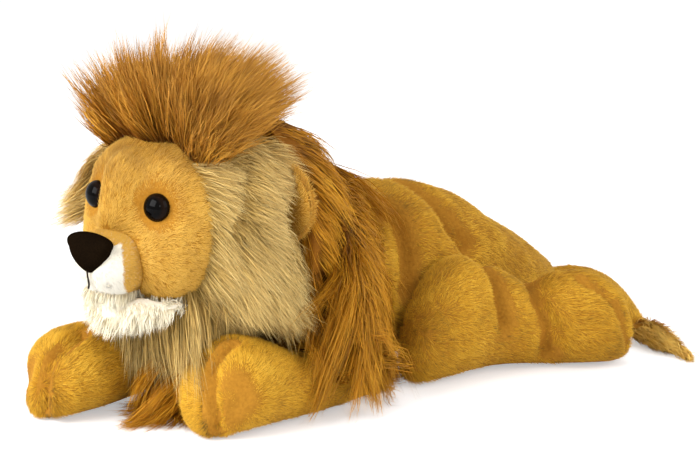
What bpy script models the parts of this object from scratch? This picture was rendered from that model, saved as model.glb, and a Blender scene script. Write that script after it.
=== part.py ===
# A plush lion lying on its belly: stuffed skins, their fillings, mane, face and tail.
# It looks along -Y, its left side is +X, and it lies on the floor z = 0.
# The origin is on the flat of the belly, under the highest point of the back.

import bpy
import bmesh
from math import cos, pi, radians, sin
from mathutils import Matrix, Vector

# Cloth and clearances
CLOTH_THICKNESS = 0.0018
SEAM_GAP = 0.0003
FILLING_GAP = 0.0007
SWING_GAP = 0.0007
FLOOR_PRESS = 0.0005
STUFFING_OPENING_LENGTH = 0.014
STUFFING_OPENING_WIDTH = 0.0025
CUTTER_REACH = 0.4

# Torso, a teardrop that ends in the tail
TORSO_LENGTH = 0.236
TORSO_FRONT = 0.086
TORSO_WIDTH = 0.100
TORSO_HEIGHT = 0.0905
SHOULDER_FLAT_X = 0.036
SHOULDER_FLAT_BACK = 0.028
HIP_FLAT_X = 0.048
BELLY_POUCH_LENGTH = 0.060
BELLY_POUCH_WIDTH = 0.056
BELLY_POUCH_HEIGHT = 0.018
BELLY_POUCH_REAR_SHARE = 0.2
BELLY_OPENING_SHARE = 0.5

# along the torso, half-width, top and bottom, as shares of its length, half-width and height
TORSO_SHARES = [
    (0.000, 0.36, 0.62, 0.12),
    (0.050, 0.68, 0.76, 0.00),
    (0.190, 0.82, 0.84, 0.00),
    (0.330, 1.00, 0.88, 0.00),
    (0.450, 1.03, 1.00, 0.00),
    (0.545, 0.96, 0.86, 0.00),
    (0.670, 0.88, 0.70, 0.00),
    (0.800, 0.72, 0.53, 0.00),
    (0.910, 0.46, 0.34, 0.00),
    (0.985, 0.24, 0.22, 0.02),
]

# Neck, the centre that the head turns about
NECK_AHEAD = 0.098
NECK_HEIGHT = 0.080
HEAD_BALL_RADIUS = 0.060
NECK_PAD_THICKNESS = 0.0028
NECK_PAD_RADIUS = 0.017
NECK_PAD_SLOPE = radians(20)
NECK_TURN = radians(15)

# Head, from the back of the skull to the flat face
HEAD_LENGTH = 0.092
HEAD_BACK_FROM_NECK = 0.031
HEAD_WIDTH = 0.088
HEAD_HEIGHT = 0.086
HEAD_CHIN_BELOW_NECK = 0.030
HEAD_SHARES = [
    (0.00, 0.38, 0.70, 0.26),
    (0.13, 0.82, 0.90, 0.10),
    (0.34, 1.00, 1.00, 0.01),
    (0.60, 1.00, 1.00, 0.00),
    (0.80, 0.92, 0.92, 0.02),
    (0.93, 0.70, 0.81, 0.08),
    (1.00, 0.34, 0.62, 0.20),
]
MUZZLE_LENGTH = 0.034
MUZZLE_WIDTH = 0.036
MUZZLE_HEIGHT = 0.034
MUZZLE_BELOW_NECK = 0.020
MUZZLE_REACH = 0.078
MUZZLE_SHARES = [
    (0.00, 0.60, 0.96, 0.08),
    (0.34, 0.86, 0.98, 0.00),
    (0.70, 1.00, 0.98, 0.02),
    (0.92, 0.62, 0.88, 0.16),
    (1.00, 0.28, 0.72, 0.36),
]
BEARD_LENGTH = 0.046
BEARD_WIDTH = 0.062
BEARD_HEIGHT = 0.020
BEARD_BELOW_NECK = 0.033
BEARD_REACH = 0.073
BEARD_SHARES = [
    (0.00, 0.66, 0.86, 0.40),
    (0.30, 1.00, 1.00, 0.16),
    (0.62, 0.86, 1.00, 0.04),
    (0.86, 0.52, 0.92, 0.00),
    (1.00, 0.22, 0.66, 0.12),
]

# Eyes and nose: domes on stems, held by washers behind the cloth
EYE_DIAMETER = 0.0124
EYE_DEPTH_SHARE = 0.72
EYE_SPACING = 0.038
EYE_ABOVE_NECK = 0.022
EYE_SUNK = 0.0026
NOSE_WIDTH = 0.025
NOSE_HEIGHT = 0.018
NOSE_TAPER_SHARE = 0.42
NOSE_DEPTH = 0.011
NOSE_ABOVE_NECK = 0.0065
NOSE_SUNK = 0.0034
STEM_DIAMETER = 0.003
STEM_END = 0.0015
WASHER_DIAMETER = 0.0095
WASHER_THICKNESS = 0.0012
STITCH_DIAMETER = 0.0009
STITCH_LENGTH = 0.009
STITCH_SPREAD = 0.009
STITCH_LIFT_SHARE = 0.75

# Ears, flaps sewn between the ruff and the mane
EAR_WIDTH = 0.031
EAR_HEIGHT = 0.031
EAR_THICKNESS = 0.0036
EAR_X_SHARE = 0.98
EAR_ABOVE_NECK = 0.019

# Ruff round the face, mane on the back of the head, crest on top
RUFF_FRONT_FROM_NECK = 0.034
RUFF_BOTTOM_BELOW_NECK = 0.034
RUFF_SIDE_SHARE = 0.92
CREST_LENGTH = 0.096
CREST_WIDTH = 0.058
CREST_HEIGHT = 0.059
CREST_SUNK = 0.026
CREST_FRONT_FROM_NECK = 0.064
CREST_SHARES = [
    (0.00, 0.30, 0.66, 0.34),
    (0.12, 0.80, 0.82, 0.18),
    (0.36, 1.00, 0.96, 0.00),
    (0.62, 1.00, 1.02, 0.00),
    (0.84, 0.84, 0.86, 0.00),
    (1.00, 0.40, 0.62, 0.08),
]

# Mane on the shoulders and on the chest
MANE_LENGTH = 0.078
MANE_BACK = 0.008
MANE_WIDTH = 0.140
MANE_HEIGHT = 0.128
MANE_WIDEST_HEIGHT = 0.038
MANE_SHARES = [
    (0.00, 0.52, 0.65),
    (0.22, 0.74, 0.75),
    (0.50, 0.90, 0.88),
    (0.78, 0.97, 0.96),
    (1.00, 0.98, 0.96),
]
CHEST_MANE_LENGTH = 0.056
CHEST_MANE_WIDTH = 0.029
CHEST_MANE_HEIGHT = 0.038
CHEST_MANE_X = 0.004
CHEST_MANE_BACK_FROM_NECK = 0.018
CHEST_MANE_SHARES = [
    (0.00, 1.00, 1.00, 0.00),
    (0.40, 1.00, 1.00, 0.00),
    (0.80, 0.60, 0.92, 0.00),
    (1.00, 0.36, 0.64, 0.04),
]

# Forelegs: along the leg, sideways, half-width and height, as shares of the leg's own sizes
FORELEG_WIDTH = 0.048
FORELEG_HEIGHT = 0.045
LEFT_FORELEG = {"side": 1, "length": 0.113, "back": 0.035, "hip_x": 0.0475, "splay": 0.012}
RIGHT_FORELEG = {"side": -1, "length": 0.134, "back": 0.044, "hip_x": 0.049, "splay": 0.021}
FORELEG_ROOT_SHARE = 0.66
FORELEG_ROOM_SHARE = 0.62
FORELEG_ROOM = 0.0035
PAW_ROOM = 0.013
PAW_SHARE = 0.80
LEFT_FORELEG_SHARES = [
    (0.000, 0.00, 0.28, 0.34),
    (0.060, 0.00, 0.50, 0.60),
    (0.190, 0.06, 0.57, 0.66),
    (0.360, 0.08, 0.56, 0.63),
    (0.520, -0.12, 0.62, 0.66),
    (0.650, -0.52, 0.88, 0.88),
    (0.810, -0.86, 1.06, 1.04),
    (0.940, -0.92, 0.88, 0.92),
    (1.000, -0.92, 0.46, 0.52),
]
RIGHT_FORELEG_SHARES = [
    (0.000, 0.00, 0.28, 0.34),
    (0.060, 0.00, 0.50, 0.60),
    (0.190, -0.14, 0.57, 0.66),
    (0.360, -0.46, 0.57, 0.64),
    (0.540, -0.72, 0.64, 0.67),
    (0.720, -0.76, 1.02, 0.92),
    (0.860, -0.70, 1.08, 0.92),
    (0.960, -0.62, 0.80, 0.76),
    (1.000, -0.60, 0.38, 0.42),
]
SHOULDER_FROM_BACK = 0.014
PAW_POUCH_SHARE = 0.74
FORELEG_LIFT = radians(16)

# Hind legs: a thigh that lies along the flank and a foot that turns out behind it
THIGH_WIDTH = 0.052
HIND_LEG_HEIGHT = 0.055
HIND_FOOT_REACH_X = 0.060
HIND_LEG_FRONT = 0.031
HIND_LEG_BACK = 0.074
HIND_LEG_SHARES = [
    (0.000, 0.10, 0.30, 0.40),
    (0.080, 0.13, 0.66, 0.78),
    (0.260, 0.15, 0.92, 1.10),
    (0.460, 0.19, 0.96, 1.06),
    (0.600, 0.36, 0.64, 0.72),
    (0.760, 0.66, 0.84, 0.92),
    (0.920, 0.90, 0.80, 0.82),
    (1.000, 1.00, 0.42, 0.48),
]
HIP_BACK = 0.020
HIP_HEIGHT = 0.028
HIP_ROOM = 0.008

# Tail: a tube that curls round behind the left foot, with a tuft of long hair
TAIL_DIAMETER = 0.014
TAIL_ROOT_RADIUS = 0.0095
TAIL_BACK = 0.151
TAIL_SPAN_X = 0.092
TAIL_SPAN_Y = 0.034
TAIL_SHARES = [
    (0.00, 0.00, 0.80),
    (0.07, 0.20, 1.00),
    (0.17, 0.36, 1.02),
    (0.36, 0.18, 1.02),
    (0.62, -0.40, 1.00),
    (0.84, -0.98, 0.96),
    (1.00, -1.34, 0.80),
]
TUFT_LENGTH = 0.046
TUFT_WIDTH = 0.018
TUFT_SHARES = [
    (0.00, 0.70),
    (0.20, 1.00),
    (0.52, 0.92),
    (0.82, 0.50),
    (1.00, 0.16),
]
TUFT_TURN = radians(-24)

# Faces round each form
BODY_SIDES = 10
LIMB_SIDES = 8
HAIR_SIDES = 8
TAIL_SIDES = 6
BALL_SEGMENTS = 24
# a room for a ball is larger by what its flat faces fall short of a true sphere
BALL_FLAT_SHARE = cos(pi / BALL_SEGMENTS) ** 2
SMALL_SEGMENTS = 10

UP = Vector((0, 0, 1))


def clear_scene():
    for thing in list(bpy.data.objects):
        bpy.data.objects.remove(thing, do_unlink=True)


def new_collection(name):
    group = bpy.data.collections.new(name)
    bpy.context.scene.collection.children.link(group)
    return group


def make_material(name, colour, roughness, metallic=0.0):
    material = bpy.data.materials.new(name)
    material.use_nodes = True
    shader = material.node_tree.nodes["Principled BSDF"]
    shader.inputs["Base Color"].default_value = (*colour, 1)
    shader.inputs["Roughness"].default_value = roughness
    shader.inputs["Metallic"].default_value = metallic
    material.diffuse_color = (*colour, 1)
    return material


def finish_object(bm, name, group, material=None):
    bmesh.ops.recalc_face_normals(bm, faces=bm.faces)
    mesh = bpy.data.meshes.new(name)
    bm.to_mesh(mesh)
    bm.free()
    mesh.shade_smooth()
    thing = bpy.data.objects.new(name, mesh)
    group.objects.link(thing)
    if material:
        mesh.materials.append(material)
    else:
        thing.hide_render = True
        thing.display_type = "WIRE"
    return thing


def round_fullness(sides):
    # a subdivided ring shrinks towards its centre by this share
    return (4 + 2 * cos(2 * pi / sides)) / 6


def loft(name, rings, sides, group, material=None):
    # rings are (centre, forward, half-width, half-height)
    bm = bmesh.new()
    full = round_fullness(sides)
    loops = []
    for index, (centre, forward, half_width, half_height) in enumerate(rings):
        side = forward.cross(UP).normalized()
        rise = side.cross(forward).normalized()
        across = Matrix((side * half_width / full, rise * half_height / full, forward))
        place = Matrix.Translation(centre) @ across.transposed().to_4x4()
        ends = index in (0, len(rings) - 1)
        circle = bmesh.ops.create_circle(bm, cap_ends=ends, segments=sides, radius=1, matrix=place)
        edges = {edge for vert in circle["verts"] for edge in vert.link_edges}
        loops.append(list(edges))
    for first, second in zip(loops, loops[1:]):
        bmesh.ops.bridge_loops(bm, edges=first + second)
    form = finish_object(bm, name, group, material)
    smooth = form.modifiers.new("Stuffed", "SUBSURF")
    smooth.levels = 1
    smooth.render_levels = 1
    return form


def path_rings(stations):
    # stations are (centre, half-width, half-height); each ring stands square to the path
    rings = []
    for index, (centre, half_width, half_height) in enumerate(stations):
        before = stations[max(index - 1, 0)][0]
        after = stations[min(index + 1, len(stations) - 1)][0]
        forward = after - before
        forward.z = 0
        rings.append((centre, forward.normalized(), half_width, half_height))
    return rings


def box(name, low, high):
    bm = bmesh.new()
    low = Vector(low)
    high = Vector(high)
    place = Matrix.Translation((low + high) / 2) @ Matrix.Diagonal(high - low).to_4x4()
    bmesh.ops.create_cube(bm, size=1, matrix=place)
    return finish_object(bm, name, CUTTERS)


def ball(name, centre, radius, group=None, material=None, scale=(1, 1, 1), turn=Matrix(),
         segments=BALL_SEGMENTS, taper=0.0):
    # a taper narrows the lower half and widens the upper half
    bm = bmesh.new()
    place = Matrix.Translation(centre) @ turn @ Matrix.Diagonal(Vector(scale) * radius).to_4x4()
    bmesh.ops.create_uvsphere(bm, u_segments=segments, v_segments=segments // 2, radius=1)
    for vert in bm.verts:
        vert.co.x *= 1 + taper * vert.co.y
    bmesh.ops.transform(bm, matrix=place, verts=bm.verts)
    return finish_object(bm, name, group or CUTTERS, material)


def rod(name, start, end, radius, group=None, material=None, segments=SMALL_SEGMENTS):
    start = Vector(start)
    run = Vector(end) - start
    turn = UP.rotation_difference(run).to_matrix().to_4x4()
    bm = bmesh.new()
    place = Matrix.Translation(start + run / 2) @ turn
    bmesh.ops.create_cone(bm, cap_ends=True, segments=segments, radius1=radius, radius2=radius,
                          depth=run.length, matrix=place)
    return finish_object(bm, name, group or CUTTERS, material)


def combine(thing, other, operation):
    modifier = thing.modifiers.new(other.name, "BOOLEAN")
    modifier.operation = operation
    modifier.solver = "EXACT"
    modifier.object = other


def cut(thing, *cutters):
    for cutter in cutters:
        combine(thing, cutter, "DIFFERENCE")


def keep(thing, *boxes):
    for part in boxes:
        combine(thing, part, "INTERSECT")


def floor_box(name, height=0.0):
    return box(name, (-CUTTER_REACH, -CUTTER_REACH, -CUTTER_REACH), (CUTTER_REACH, CUTTER_REACH, height))


def surface_hit(form, start, direction):
    depsgraph = bpy.context.evaluated_depsgraph_get()
    hit, place, normal, _ = form.evaluated_get(depsgraph).ray_cast(Vector(start), Vector(direction))
    return place, normal


def stuffed(name, make_form, opening, cloth, fill, pouch_boxes=None):
    # a skin with its stuffing opening, and the filling that it holds
    skin = make_form(name + "_skin", 0, PART, cloth)
    cut(skin, make_form(name + "_hollow", CLOTH_THICKNESS, CUTTERS, None), opening)
    inside = CLOTH_THICKNESS + FILLING_GAP
    filling = make_form(name + "_filling", inside, PART, fill)
    pieces = [skin, filling]
    if pouch_boxes:
        pouch_space, filling_space = pouch_boxes
        pouch = make_form(name + "_pellet_pouch", inside, PART, MATERIALS["pouch"])
        keep(pouch, pouch_space)
        cut(filling, filling_space)
        pieces.append(pouch)
    return pieces


def form_sides(sides, inset):
    return sides if inset <= 0 else sides // 2


def torso_form(name, inset, group, material):
    rings = []
    for along, wide, top, bottom in TORSO_SHARES:
        y = -TORSO_FRONT + along * TORSO_LENGTH
        high = top * TORSO_HEIGHT - inset
        low = bottom * TORSO_HEIGHT - FLOOR_PRESS + inset
        end = inset if along == 0 else -inset if along == TORSO_SHARES[-1][0] else 0
        centre = Vector((0, y + end, (high + low) / 2))
        rings.append((centre, Vector((0, 1, 0)), wide * TORSO_WIDTH / 2 - inset, (high - low) / 2))
    torso = loft(name, rings, form_sides(BODY_SIDES, inset), group, material)
    if inset < 0:
        return torso
    cut(torso, floor_box(name + "_floor", inset))
    for side in (-1, 1):
        flat = side * (SHOULDER_FLAT_X - inset)
        outside = side * CUTTER_REACH
        low = (min(flat, outside), -CUTTER_REACH, -CUTTER_REACH)
        high = (max(flat, outside), -SHOULDER_FLAT_BACK, CUTTER_REACH)
        cut(torso, box(f"{name}_shoulder_{side}", low, high))
        flat = side * (HIP_FLAT_X - inset)
        low = (min(flat, outside), -CUTTER_REACH, -CUTTER_REACH)
        high = (max(flat, outside), CUTTER_REACH, CUTTER_REACH)
        cut(torso, box(f"{name}_hip_{side}", low, high))
    pocket = HEAD_BALL_RADIUS + 2 * SWING_GAP + NECK_PAD_THICKNESS + inset
    cut(torso, ball(name + "_neck", NECK, pocket))
    cut(torso, ball(name + "_tail", TAIL_ROOT, TAIL_ROOT_RADIUS + SWING_GAP + inset, segments=SMALL_SEGMENTS))
    return torso


def lengthwise_form(name, shares, back, length, width, bottom, height, inset, sides, group, material, x=0.0):
    # a form lofted from its back end towards -Y
    rings = []
    last = len(shares) - 1
    for index, (along, wide, top, low) in enumerate(shares):
        end = -inset if index == 0 else inset if index == last else 0
        y = back - along * length + end
        high_z = bottom + top * height - inset
        low_z = bottom + low * height + inset
        centre = Vector((x, y, (high_z + low_z) / 2))
        rings.append((centre, Vector((0, -1, 0)), wide * width / 2 - inset, (high_z - low_z) / 2))
    return loft(name, rings, form_sides(sides, inset), group, material)


def head_form(name, inset, group, material):
    back = NECK.y + HEAD_BACK_FROM_NECK
    bottom = NECK.z - HEAD_CHIN_BELOW_NECK
    return lengthwise_form(name, HEAD_SHARES, back, HEAD_LENGTH, HEAD_WIDTH, bottom, HEAD_HEIGHT,
                           inset, BODY_SIDES, group, material)


def muzzle_form(name, inset, group, material):
    back = NECK.y - MUZZLE_REACH + MUZZLE_LENGTH
    return lengthwise_form(name, MUZZLE_SHARES, back, MUZZLE_LENGTH, MUZZLE_WIDTH, NECK.z - MUZZLE_BELOW_NECK,
                           MUZZLE_HEIGHT, inset, HAIR_SIDES, group, material)


def beard_form(name, inset, group, material):
    back = NECK.y - BEARD_REACH + BEARD_LENGTH
    return lengthwise_form(name, BEARD_SHARES, back, BEARD_LENGTH, BEARD_WIDTH, NECK.z - BEARD_BELOW_NECK,
                           BEARD_HEIGHT, inset, HAIR_SIDES, group, material)


def crest_form(name, inset, group, material):
    back = NECK.y - CREST_FRONT_FROM_NECK + CREST_LENGTH
    flipped = [(1 - along, wide, top, low) for along, wide, top, low in reversed(CREST_SHARES)]
    bottom = NECK.z - HEAD_CHIN_BELOW_NECK + HEAD_HEIGHT - CREST_SUNK
    return lengthwise_form(name, flipped, back, CREST_LENGTH, CREST_WIDTH, bottom, CREST_HEIGHT,
                           inset, HAIR_SIDES, group, material)


def foreleg_form(leg, shares):
    def make(name, inset, group, material):
        stations = []
        last = len(shares) - 1
        for index, (along, splay, wide, high) in enumerate(shares):
            end = inset if index == 0 else -inset if index == last else 0
            half_height = high * FORELEG_HEIGHT / 2
            x = leg["side"] * (leg["hip_x"] + splay * leg["splay"])
            centre = Vector((x, -leg["back"] - along * leg["length"] - end, half_height - FLOOR_PRESS))
            stations.append((centre, wide * FORELEG_WIDTH / 2 - inset, half_height - inset))
        form = loft(name, path_rings(stations), form_sides(LIMB_SIDES, inset), group, material)
        seat = leg["side"] * (SHOULDER_FLAT_X + SWING_GAP + inset)
        inner_end = -leg["side"] * CUTTER_REACH
        low = (min(seat, inner_end), -TORSO_FRONT - SWING_GAP, -CUTTER_REACH)
        high = (max(seat, inner_end), CUTTER_REACH, CUTTER_REACH)
        cut(form, box(name + "_seat", low, high), floor_box(name + "_floor", inset))
        return form
    return make


def hind_leg_form(side):
    def make(name, inset, group, material):
        stations = []
        length = HIND_LEG_FRONT + HIND_LEG_BACK
        last = len(HIND_LEG_SHARES) - 1
        for index, (along, out, wide, high) in enumerate(HIND_LEG_SHARES):
            end = inset if index == 0 else -inset if index == last else 0
            half_height = high * HIND_LEG_HEIGHT / 2
            x = side * (HIP_FLAT_X + out * HIND_FOOT_REACH_X)
            centre = Vector((x, -HIND_LEG_FRONT + along * length + end, half_height - FLOOR_PRESS))
            stations.append((centre, wide * THIGH_WIDTH / 2 - inset, half_height - inset))
        form = loft(name, path_rings(stations), form_sides(LIMB_SIDES, inset), group, material)
        seat = side * (HIP_FLAT_X + SWING_GAP + inset)
        inner_end = -side * CUTTER_REACH
        low = (min(seat, inner_end), -CUTTER_REACH, -CUTTER_REACH)
        high = (max(seat, inner_end), CUTTER_REACH, CUTTER_REACH)
        cut(form, box(name + "_seat", low, high), floor_box(name + "_floor", inset))
        return form
    return make


def tail_centres():
    centres = []
    for across, back, _ in TAIL_SHARES:
        centres.append(TAIL_ROOT + Vector((across * TAIL_SPAN_X, back * TAIL_SPAN_Y, 0)))
    return centres


def tail_form(name, inset, group, material):
    stations = []
    centres = tail_centres()
    centres[-1] -= (centres[-1] - centres[-2]).normalized() * inset
    for centre, (_, _, full) in zip(centres, TAIL_SHARES):
        radius = full * TAIL_DIAMETER / 2
        stations.append((Vector((centre.x, centre.y, radius - FLOOR_PRESS)), radius - inset, radius - inset))
    form = loft(name, path_rings(stations), TAIL_SIDES, group, material)
    combine(form, ball(name + "_root", TAIL_ROOT, TAIL_ROOT_RADIUS - inset, segments=SMALL_SEGMENTS), "UNION")
    cut(form, floor_box(name + "_floor", inset))
    return form


def make_torso():
    rear = BELLY_POUCH_LENGTH * BELLY_POUCH_REAR_SHARE
    seam = Vector((0, (TORSO_LENGTH - TORSO_FRONT) * BELLY_OPENING_SHARE, 0))
    length = STUFFING_OPENING_LENGTH
    width = STUFFING_OPENING_WIDTH
    low = seam - Vector((width / 2, length / 2, CLOTH_THICKNESS))
    high = seam + Vector((width / 2, length / 2, 2 * CLOTH_THICKNESS))
    opening = box("torso_opening", low, high)
    half = BELLY_POUCH_WIDTH / 2
    low = (-half, -BELLY_POUCH_LENGTH + rear, 0)
    high = (half, rear, BELLY_POUCH_HEIGHT)
    pouch_space = box("belly_pouch_space", low, high)
    around = Vector((SEAM_GAP, SEAM_GAP, SEAM_GAP))
    filling_space = box("belly_filling_space", Vector(low) - around, Vector(high) + around)
    stuffed("torso", torso_form, opening, MATERIALS["short_pile"], MATERIALS["filling"],
            (pouch_space, filling_space))


def make_neck_pad():
    away = Vector((0, cos(NECK_PAD_SLOPE), -sin(NECK_PAD_SLOPE)))
    inner = HEAD_BALL_RADIUS + SWING_GAP
    pad = ball("neck_pad", NECK, inner + NECK_PAD_THICKNESS, PART, MATERIALS["filling"])
    keep(pad, rod("neck_pad_edge", NECK + away * inner / 2, NECK + away * inner * 2, NECK_PAD_RADIUS))
    cut(pad, ball("neck_pad_hollow", NECK, inner))


def dome(name, seat, outward, width, depth, height, sunk, away, material, taper=0.0):
    # a domed cap whose stem goes through the cloth to a washer that lies this far away
    stem_length = away + WASHER_THICKNESS + STEM_END
    turn = UP.rotation_difference(outward).to_matrix().to_4x4()
    centre = seat - outward * sunk / 2
    size = Vector((width / 2, height / 2, depth / 2))
    cap = ball(name, centre, 1, PART, material, size, turn, SMALL_SEGMENTS, taper)
    stem = rod(name + "_stem", centre, centre - outward * stem_length, STEM_DIAMETER / 2)
    combine(cap, stem, "UNION")
    around = size + Vector((SEAM_GAP, SEAM_GAP, SEAM_GAP))
    socket = ball(name + "_socket", centre, 1, None, None, around, turn, SMALL_SEGMENTS, taper)
    reach = stem_length + SEAM_GAP
    bore = rod(name + "_bore", centre, centre - outward * reach, STEM_DIAMETER / 2 + SEAM_GAP)
    combine(socket, bore, "UNION")
    return socket, centre, bore


def washer(name, centre, outward, away, bore):
    # the locking washer on a stem, and the room that it takes in the filling
    near = centre - outward * away
    far = near - outward * WASHER_THICKNESS
    ring = rod(name, near, far, WASHER_DIAMETER / 2, PART, MATERIALS["washer"])
    cut(ring, bore)
    gap = outward * SEAM_GAP
    return rod(name + "_room", near + gap, far - gap, WASHER_DIAMETER / 2 + SEAM_GAP)


def make_head():
    seam_y = NECK.y + HEAD_BACK_FROM_NECK
    half = STUFFING_OPENING_WIDTH / 2
    long_half = STUFFING_OPENING_LENGTH / 2
    back_middle_share = (HEAD_SHARES[0][2] + HEAD_SHARES[0][3]) / 2
    seam_z = NECK.z - HEAD_CHIN_BELOW_NECK + HEAD_HEIGHT * back_middle_share
    low = (-long_half, seam_y - 3 * STUFFING_OPENING_WIDTH, seam_z - half)
    high = (long_half, seam_y + STUFFING_OPENING_WIDTH, seam_z + half)
    opening = box("head_opening", low, high)
    skin, filling = stuffed("head", head_form, opening, MATERIALS["short_pile"], MATERIALS["filling"])
    grown = head_form("head_grown", -SEAM_GAP, CUTTERS, None)

    muzzle = muzzle_form("muzzle", 0, PART, MATERIALS["white_pile"])
    cut(muzzle, grown)
    muzzle_grown = muzzle_form("muzzle_grown", -SEAM_GAP, CUTTERS, None)

    ahead = NECK.y - CUTTER_REACH
    for side, word in ((1, "left"), (-1, "right")):
        seat, normal = surface_hit(grown, (side * EYE_SPACING / 2, ahead, NECK.z + EYE_ABOVE_NECK), (0, 1, 0))
        outward = (normal + Vector((0, -1, 0))).normalized()
        depth = EYE_DIAMETER * EYE_DEPTH_SHARE
        away = depth / 2 + CLOTH_THICKNESS + EYE_SUNK
        socket, centre, bore = dome(f"eye_{word}", seat, outward, EYE_DIAMETER, depth, EYE_DIAMETER,
                                    EYE_SUNK, away, MATERIALS["eye"])
        room = washer(f"eye_washer_{word}", centre, outward, away, bore)
        cut(skin, socket)
        cut(filling, socket, room)

    seat, _ = surface_hit(muzzle_grown, (0, ahead, NECK.z + NOSE_ABOVE_NECK), (0, 1, 0))
    skin_seat, _ = surface_hit(grown, (0, ahead, seat.z), (0, 1, 0))
    outward = Vector((0, -1, 0))
    away = skin_seat.y - seat.y + CLOTH_THICKNESS + EYE_SUNK
    socket, centre, bore = dome("nose", seat, outward, NOSE_WIDTH, NOSE_DEPTH, NOSE_HEIGHT,
                                NOSE_SUNK, away, MATERIALS["nose"], NOSE_TAPER_SHARE)
    room = washer("nose_washer", centre, outward, away, bore)
    cut(muzzle, socket)
    cut(skin, socket)
    cut(filling, socket, room)

    cut(beard_form("beard", 0, PART, MATERIALS["cream_pile"]), grown, muzzle_grown)
    return grown, muzzle_grown


def make_mouth(muzzle_grown):
    # a black stitch down from the nose that forks into the mouth line
    top = NECK.z + NOSE_ABOVE_NECK - NOSE_HEIGHT / 2
    curve = bpy.data.curves.new("mouth_stitch", "CURVE")
    curve.dimensions = "3D"
    curve.bevel_depth = STITCH_DIAMETER / 2
    curve.bevel_resolution = 1
    curve.use_fill_caps = True
    steps = 5
    spline = curve.splines.new("POLY")
    spline.points.add(steps)
    for index in range(steps + 1):
        share = index / steps
        x = STITCH_SPREAD * share * share
        z = top - STITCH_LENGTH * share
        place, normal = surface_hit(muzzle_grown, (x, NECK.y - CUTTER_REACH, z), (0, 1, 0))
        spline.points[index].co = (*(place + normal * STITCH_DIAMETER * STITCH_LIFT_SHARE), 1)
    stitch = bpy.data.objects.new("mouth_stitch", curve)
    PART.objects.link(stitch)
    curve.materials.append(MATERIALS["thread"])


def make_ears(grown):
    for side, word in ((1, "left"), (-1, "right")):
        centre = NECK + Vector((side * EAR_X_SHARE * HEAD_WIDTH / 2, 0, EAR_ABOVE_NECK))
        size = Vector((EAR_WIDTH / 2, EAR_THICKNESS / 2, EAR_HEIGHT / 2))
        ear = ball(f"ear_{word}", centre, 1, PART, MATERIALS["short_pile"], size, Matrix(), SMALL_SEGMENTS)
        cut(ear, grown)


def shoulder_place(leg):
    return Vector((leg["side"] * SHOULDER_FLAT_X, -leg["back"] - SHOULDER_FROM_BACK, SHOULDER_HEIGHT))


def paw_room(name, leg, splay):
    # the space round a paw that the hair under the chin stays out of
    x = leg["side"] * (leg["hip_x"] + splay * leg["splay"])
    centre = Vector((x, -leg["back"] - PAW_SHARE * leg["length"], FORELEG_HEIGHT / 2))
    return ball(name, centre, FORELEG_HEIGHT / 2 + PAW_ROOM)


def make_head_hair(grown):
    crest = crest_form("crest", 0, PART, MATERIALS["mane"])
    cut(crest, grown)
    crest_grown = crest_form("crest_grown", -2 * SEAM_GAP, CUTTERS, None)
    beard_grown = beard_form("beard_grown", -SEAM_GAP, CUTTERS, None)
    slot = EAR_THICKNESS / 2 + SEAM_GAP
    paws = (paw_room("left_paw_room", LEFT_FORELEG, LEFT_FORELEG_SHARES[-3][1]),
            paw_room("right_paw_room", RIGHT_FORELEG, RIGHT_FORELEG_SHARES[-3][1]))
    nape = ball("nape_mane", NECK, HEAD_BALL_RADIUS, PART, MATERIALS["mane"])
    reach = CUTTER_REACH
    bottom = NECK.z - RUFF_BOTTOM_BELOW_NECK
    rear = box("nape_side", (-reach, NECK.y + slot, bottom), (reach, reach, reach))
    keep(nape, rear)
    cut(nape, grown, crest_grown)
    for side, word in ((1, "left"), (-1, "right")):
        ruff = ball(f"ruff_{word}", NECK, HEAD_BALL_RADIUS, PART, MATERIALS["ruff"], (RUFF_SIDE_SHARE, 1, 1))
        inner = side * SEAM_GAP / 2
        outer = side * reach
        low = (min(inner, outer), NECK.y - RUFF_FRONT_FROM_NECK, bottom)
        high = (max(inner, outer), NECK.y - slot, reach)
        keep(ruff, box(f"ruff_side_{word}", low, high))
        cut(ruff, grown, crest_grown, beard_grown, *paws)


def mane_form(name):
    rings = []
    for along, wide, top in MANE_SHARES:
        y = -MANE_BACK - along * MANE_LENGTH
        half_height = top * MANE_HEIGHT - MANE_WIDEST_HEIGHT
        centre = Vector((0, y, MANE_WIDEST_HEIGHT))
        rings.append((centre, Vector((0, -1, 0)), wide * MANE_WIDTH / 2, half_height))
    return loft(name, rings, BODY_SIDES, PART, MATERIALS["mane"])


def leg_room(name, leg):
    # the space that a foreleg swings through under the mane
    side = leg["side"]
    shoulder = shoulder_place(leg)
    radius = FORELEG_HEIGHT * FORELEG_ROOT_SHARE / 2 + FORELEG_ROOM
    inner = -side * SEAM_GAP
    outer = side * (leg["hip_x"] + FORELEG_WIDTH * FORELEG_ROOM_SHARE)
    low_x, high_x = sorted((inner, outer))
    sweep = box(name, (low_x, -CUTTER_REACH, -CUTTER_REACH), (high_x, 0, radius))
    sweep.matrix_world = Matrix.Translation(shoulder) @ Matrix.Rotation(-FORELEG_LIFT, 4, "X")
    sweep.location.x = 0
    root = rod(name + "_root", (low_x - SEAM_GAP, shoulder.y, shoulder.z),
               (high_x + SEAM_GAP, shoulder.y, shoulder.z), radius + SEAM_GAP, segments=BALL_SEGMENTS)
    return sweep, root


def neck_pad_room():
    # the band that the neck pad sweeps as the head turns
    outer = (HEAD_BALL_RADIUS + NECK_PAD_THICKNESS + 2 * SWING_GAP) / BALL_FLAT_SHARE
    room = ball("neck_pad_room", NECK, outer)
    middle = NECK.z - sin(NECK_PAD_SLOPE) * outer
    half = NECK_PAD_RADIUS + 2 * SWING_GAP
    aside = half + sin(NECK_TURN) * outer
    keep(room, box("neck_pad_band", (-aside, NECK.y, middle - half), (aside, CUTTER_REACH, middle + half)))
    return room


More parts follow.
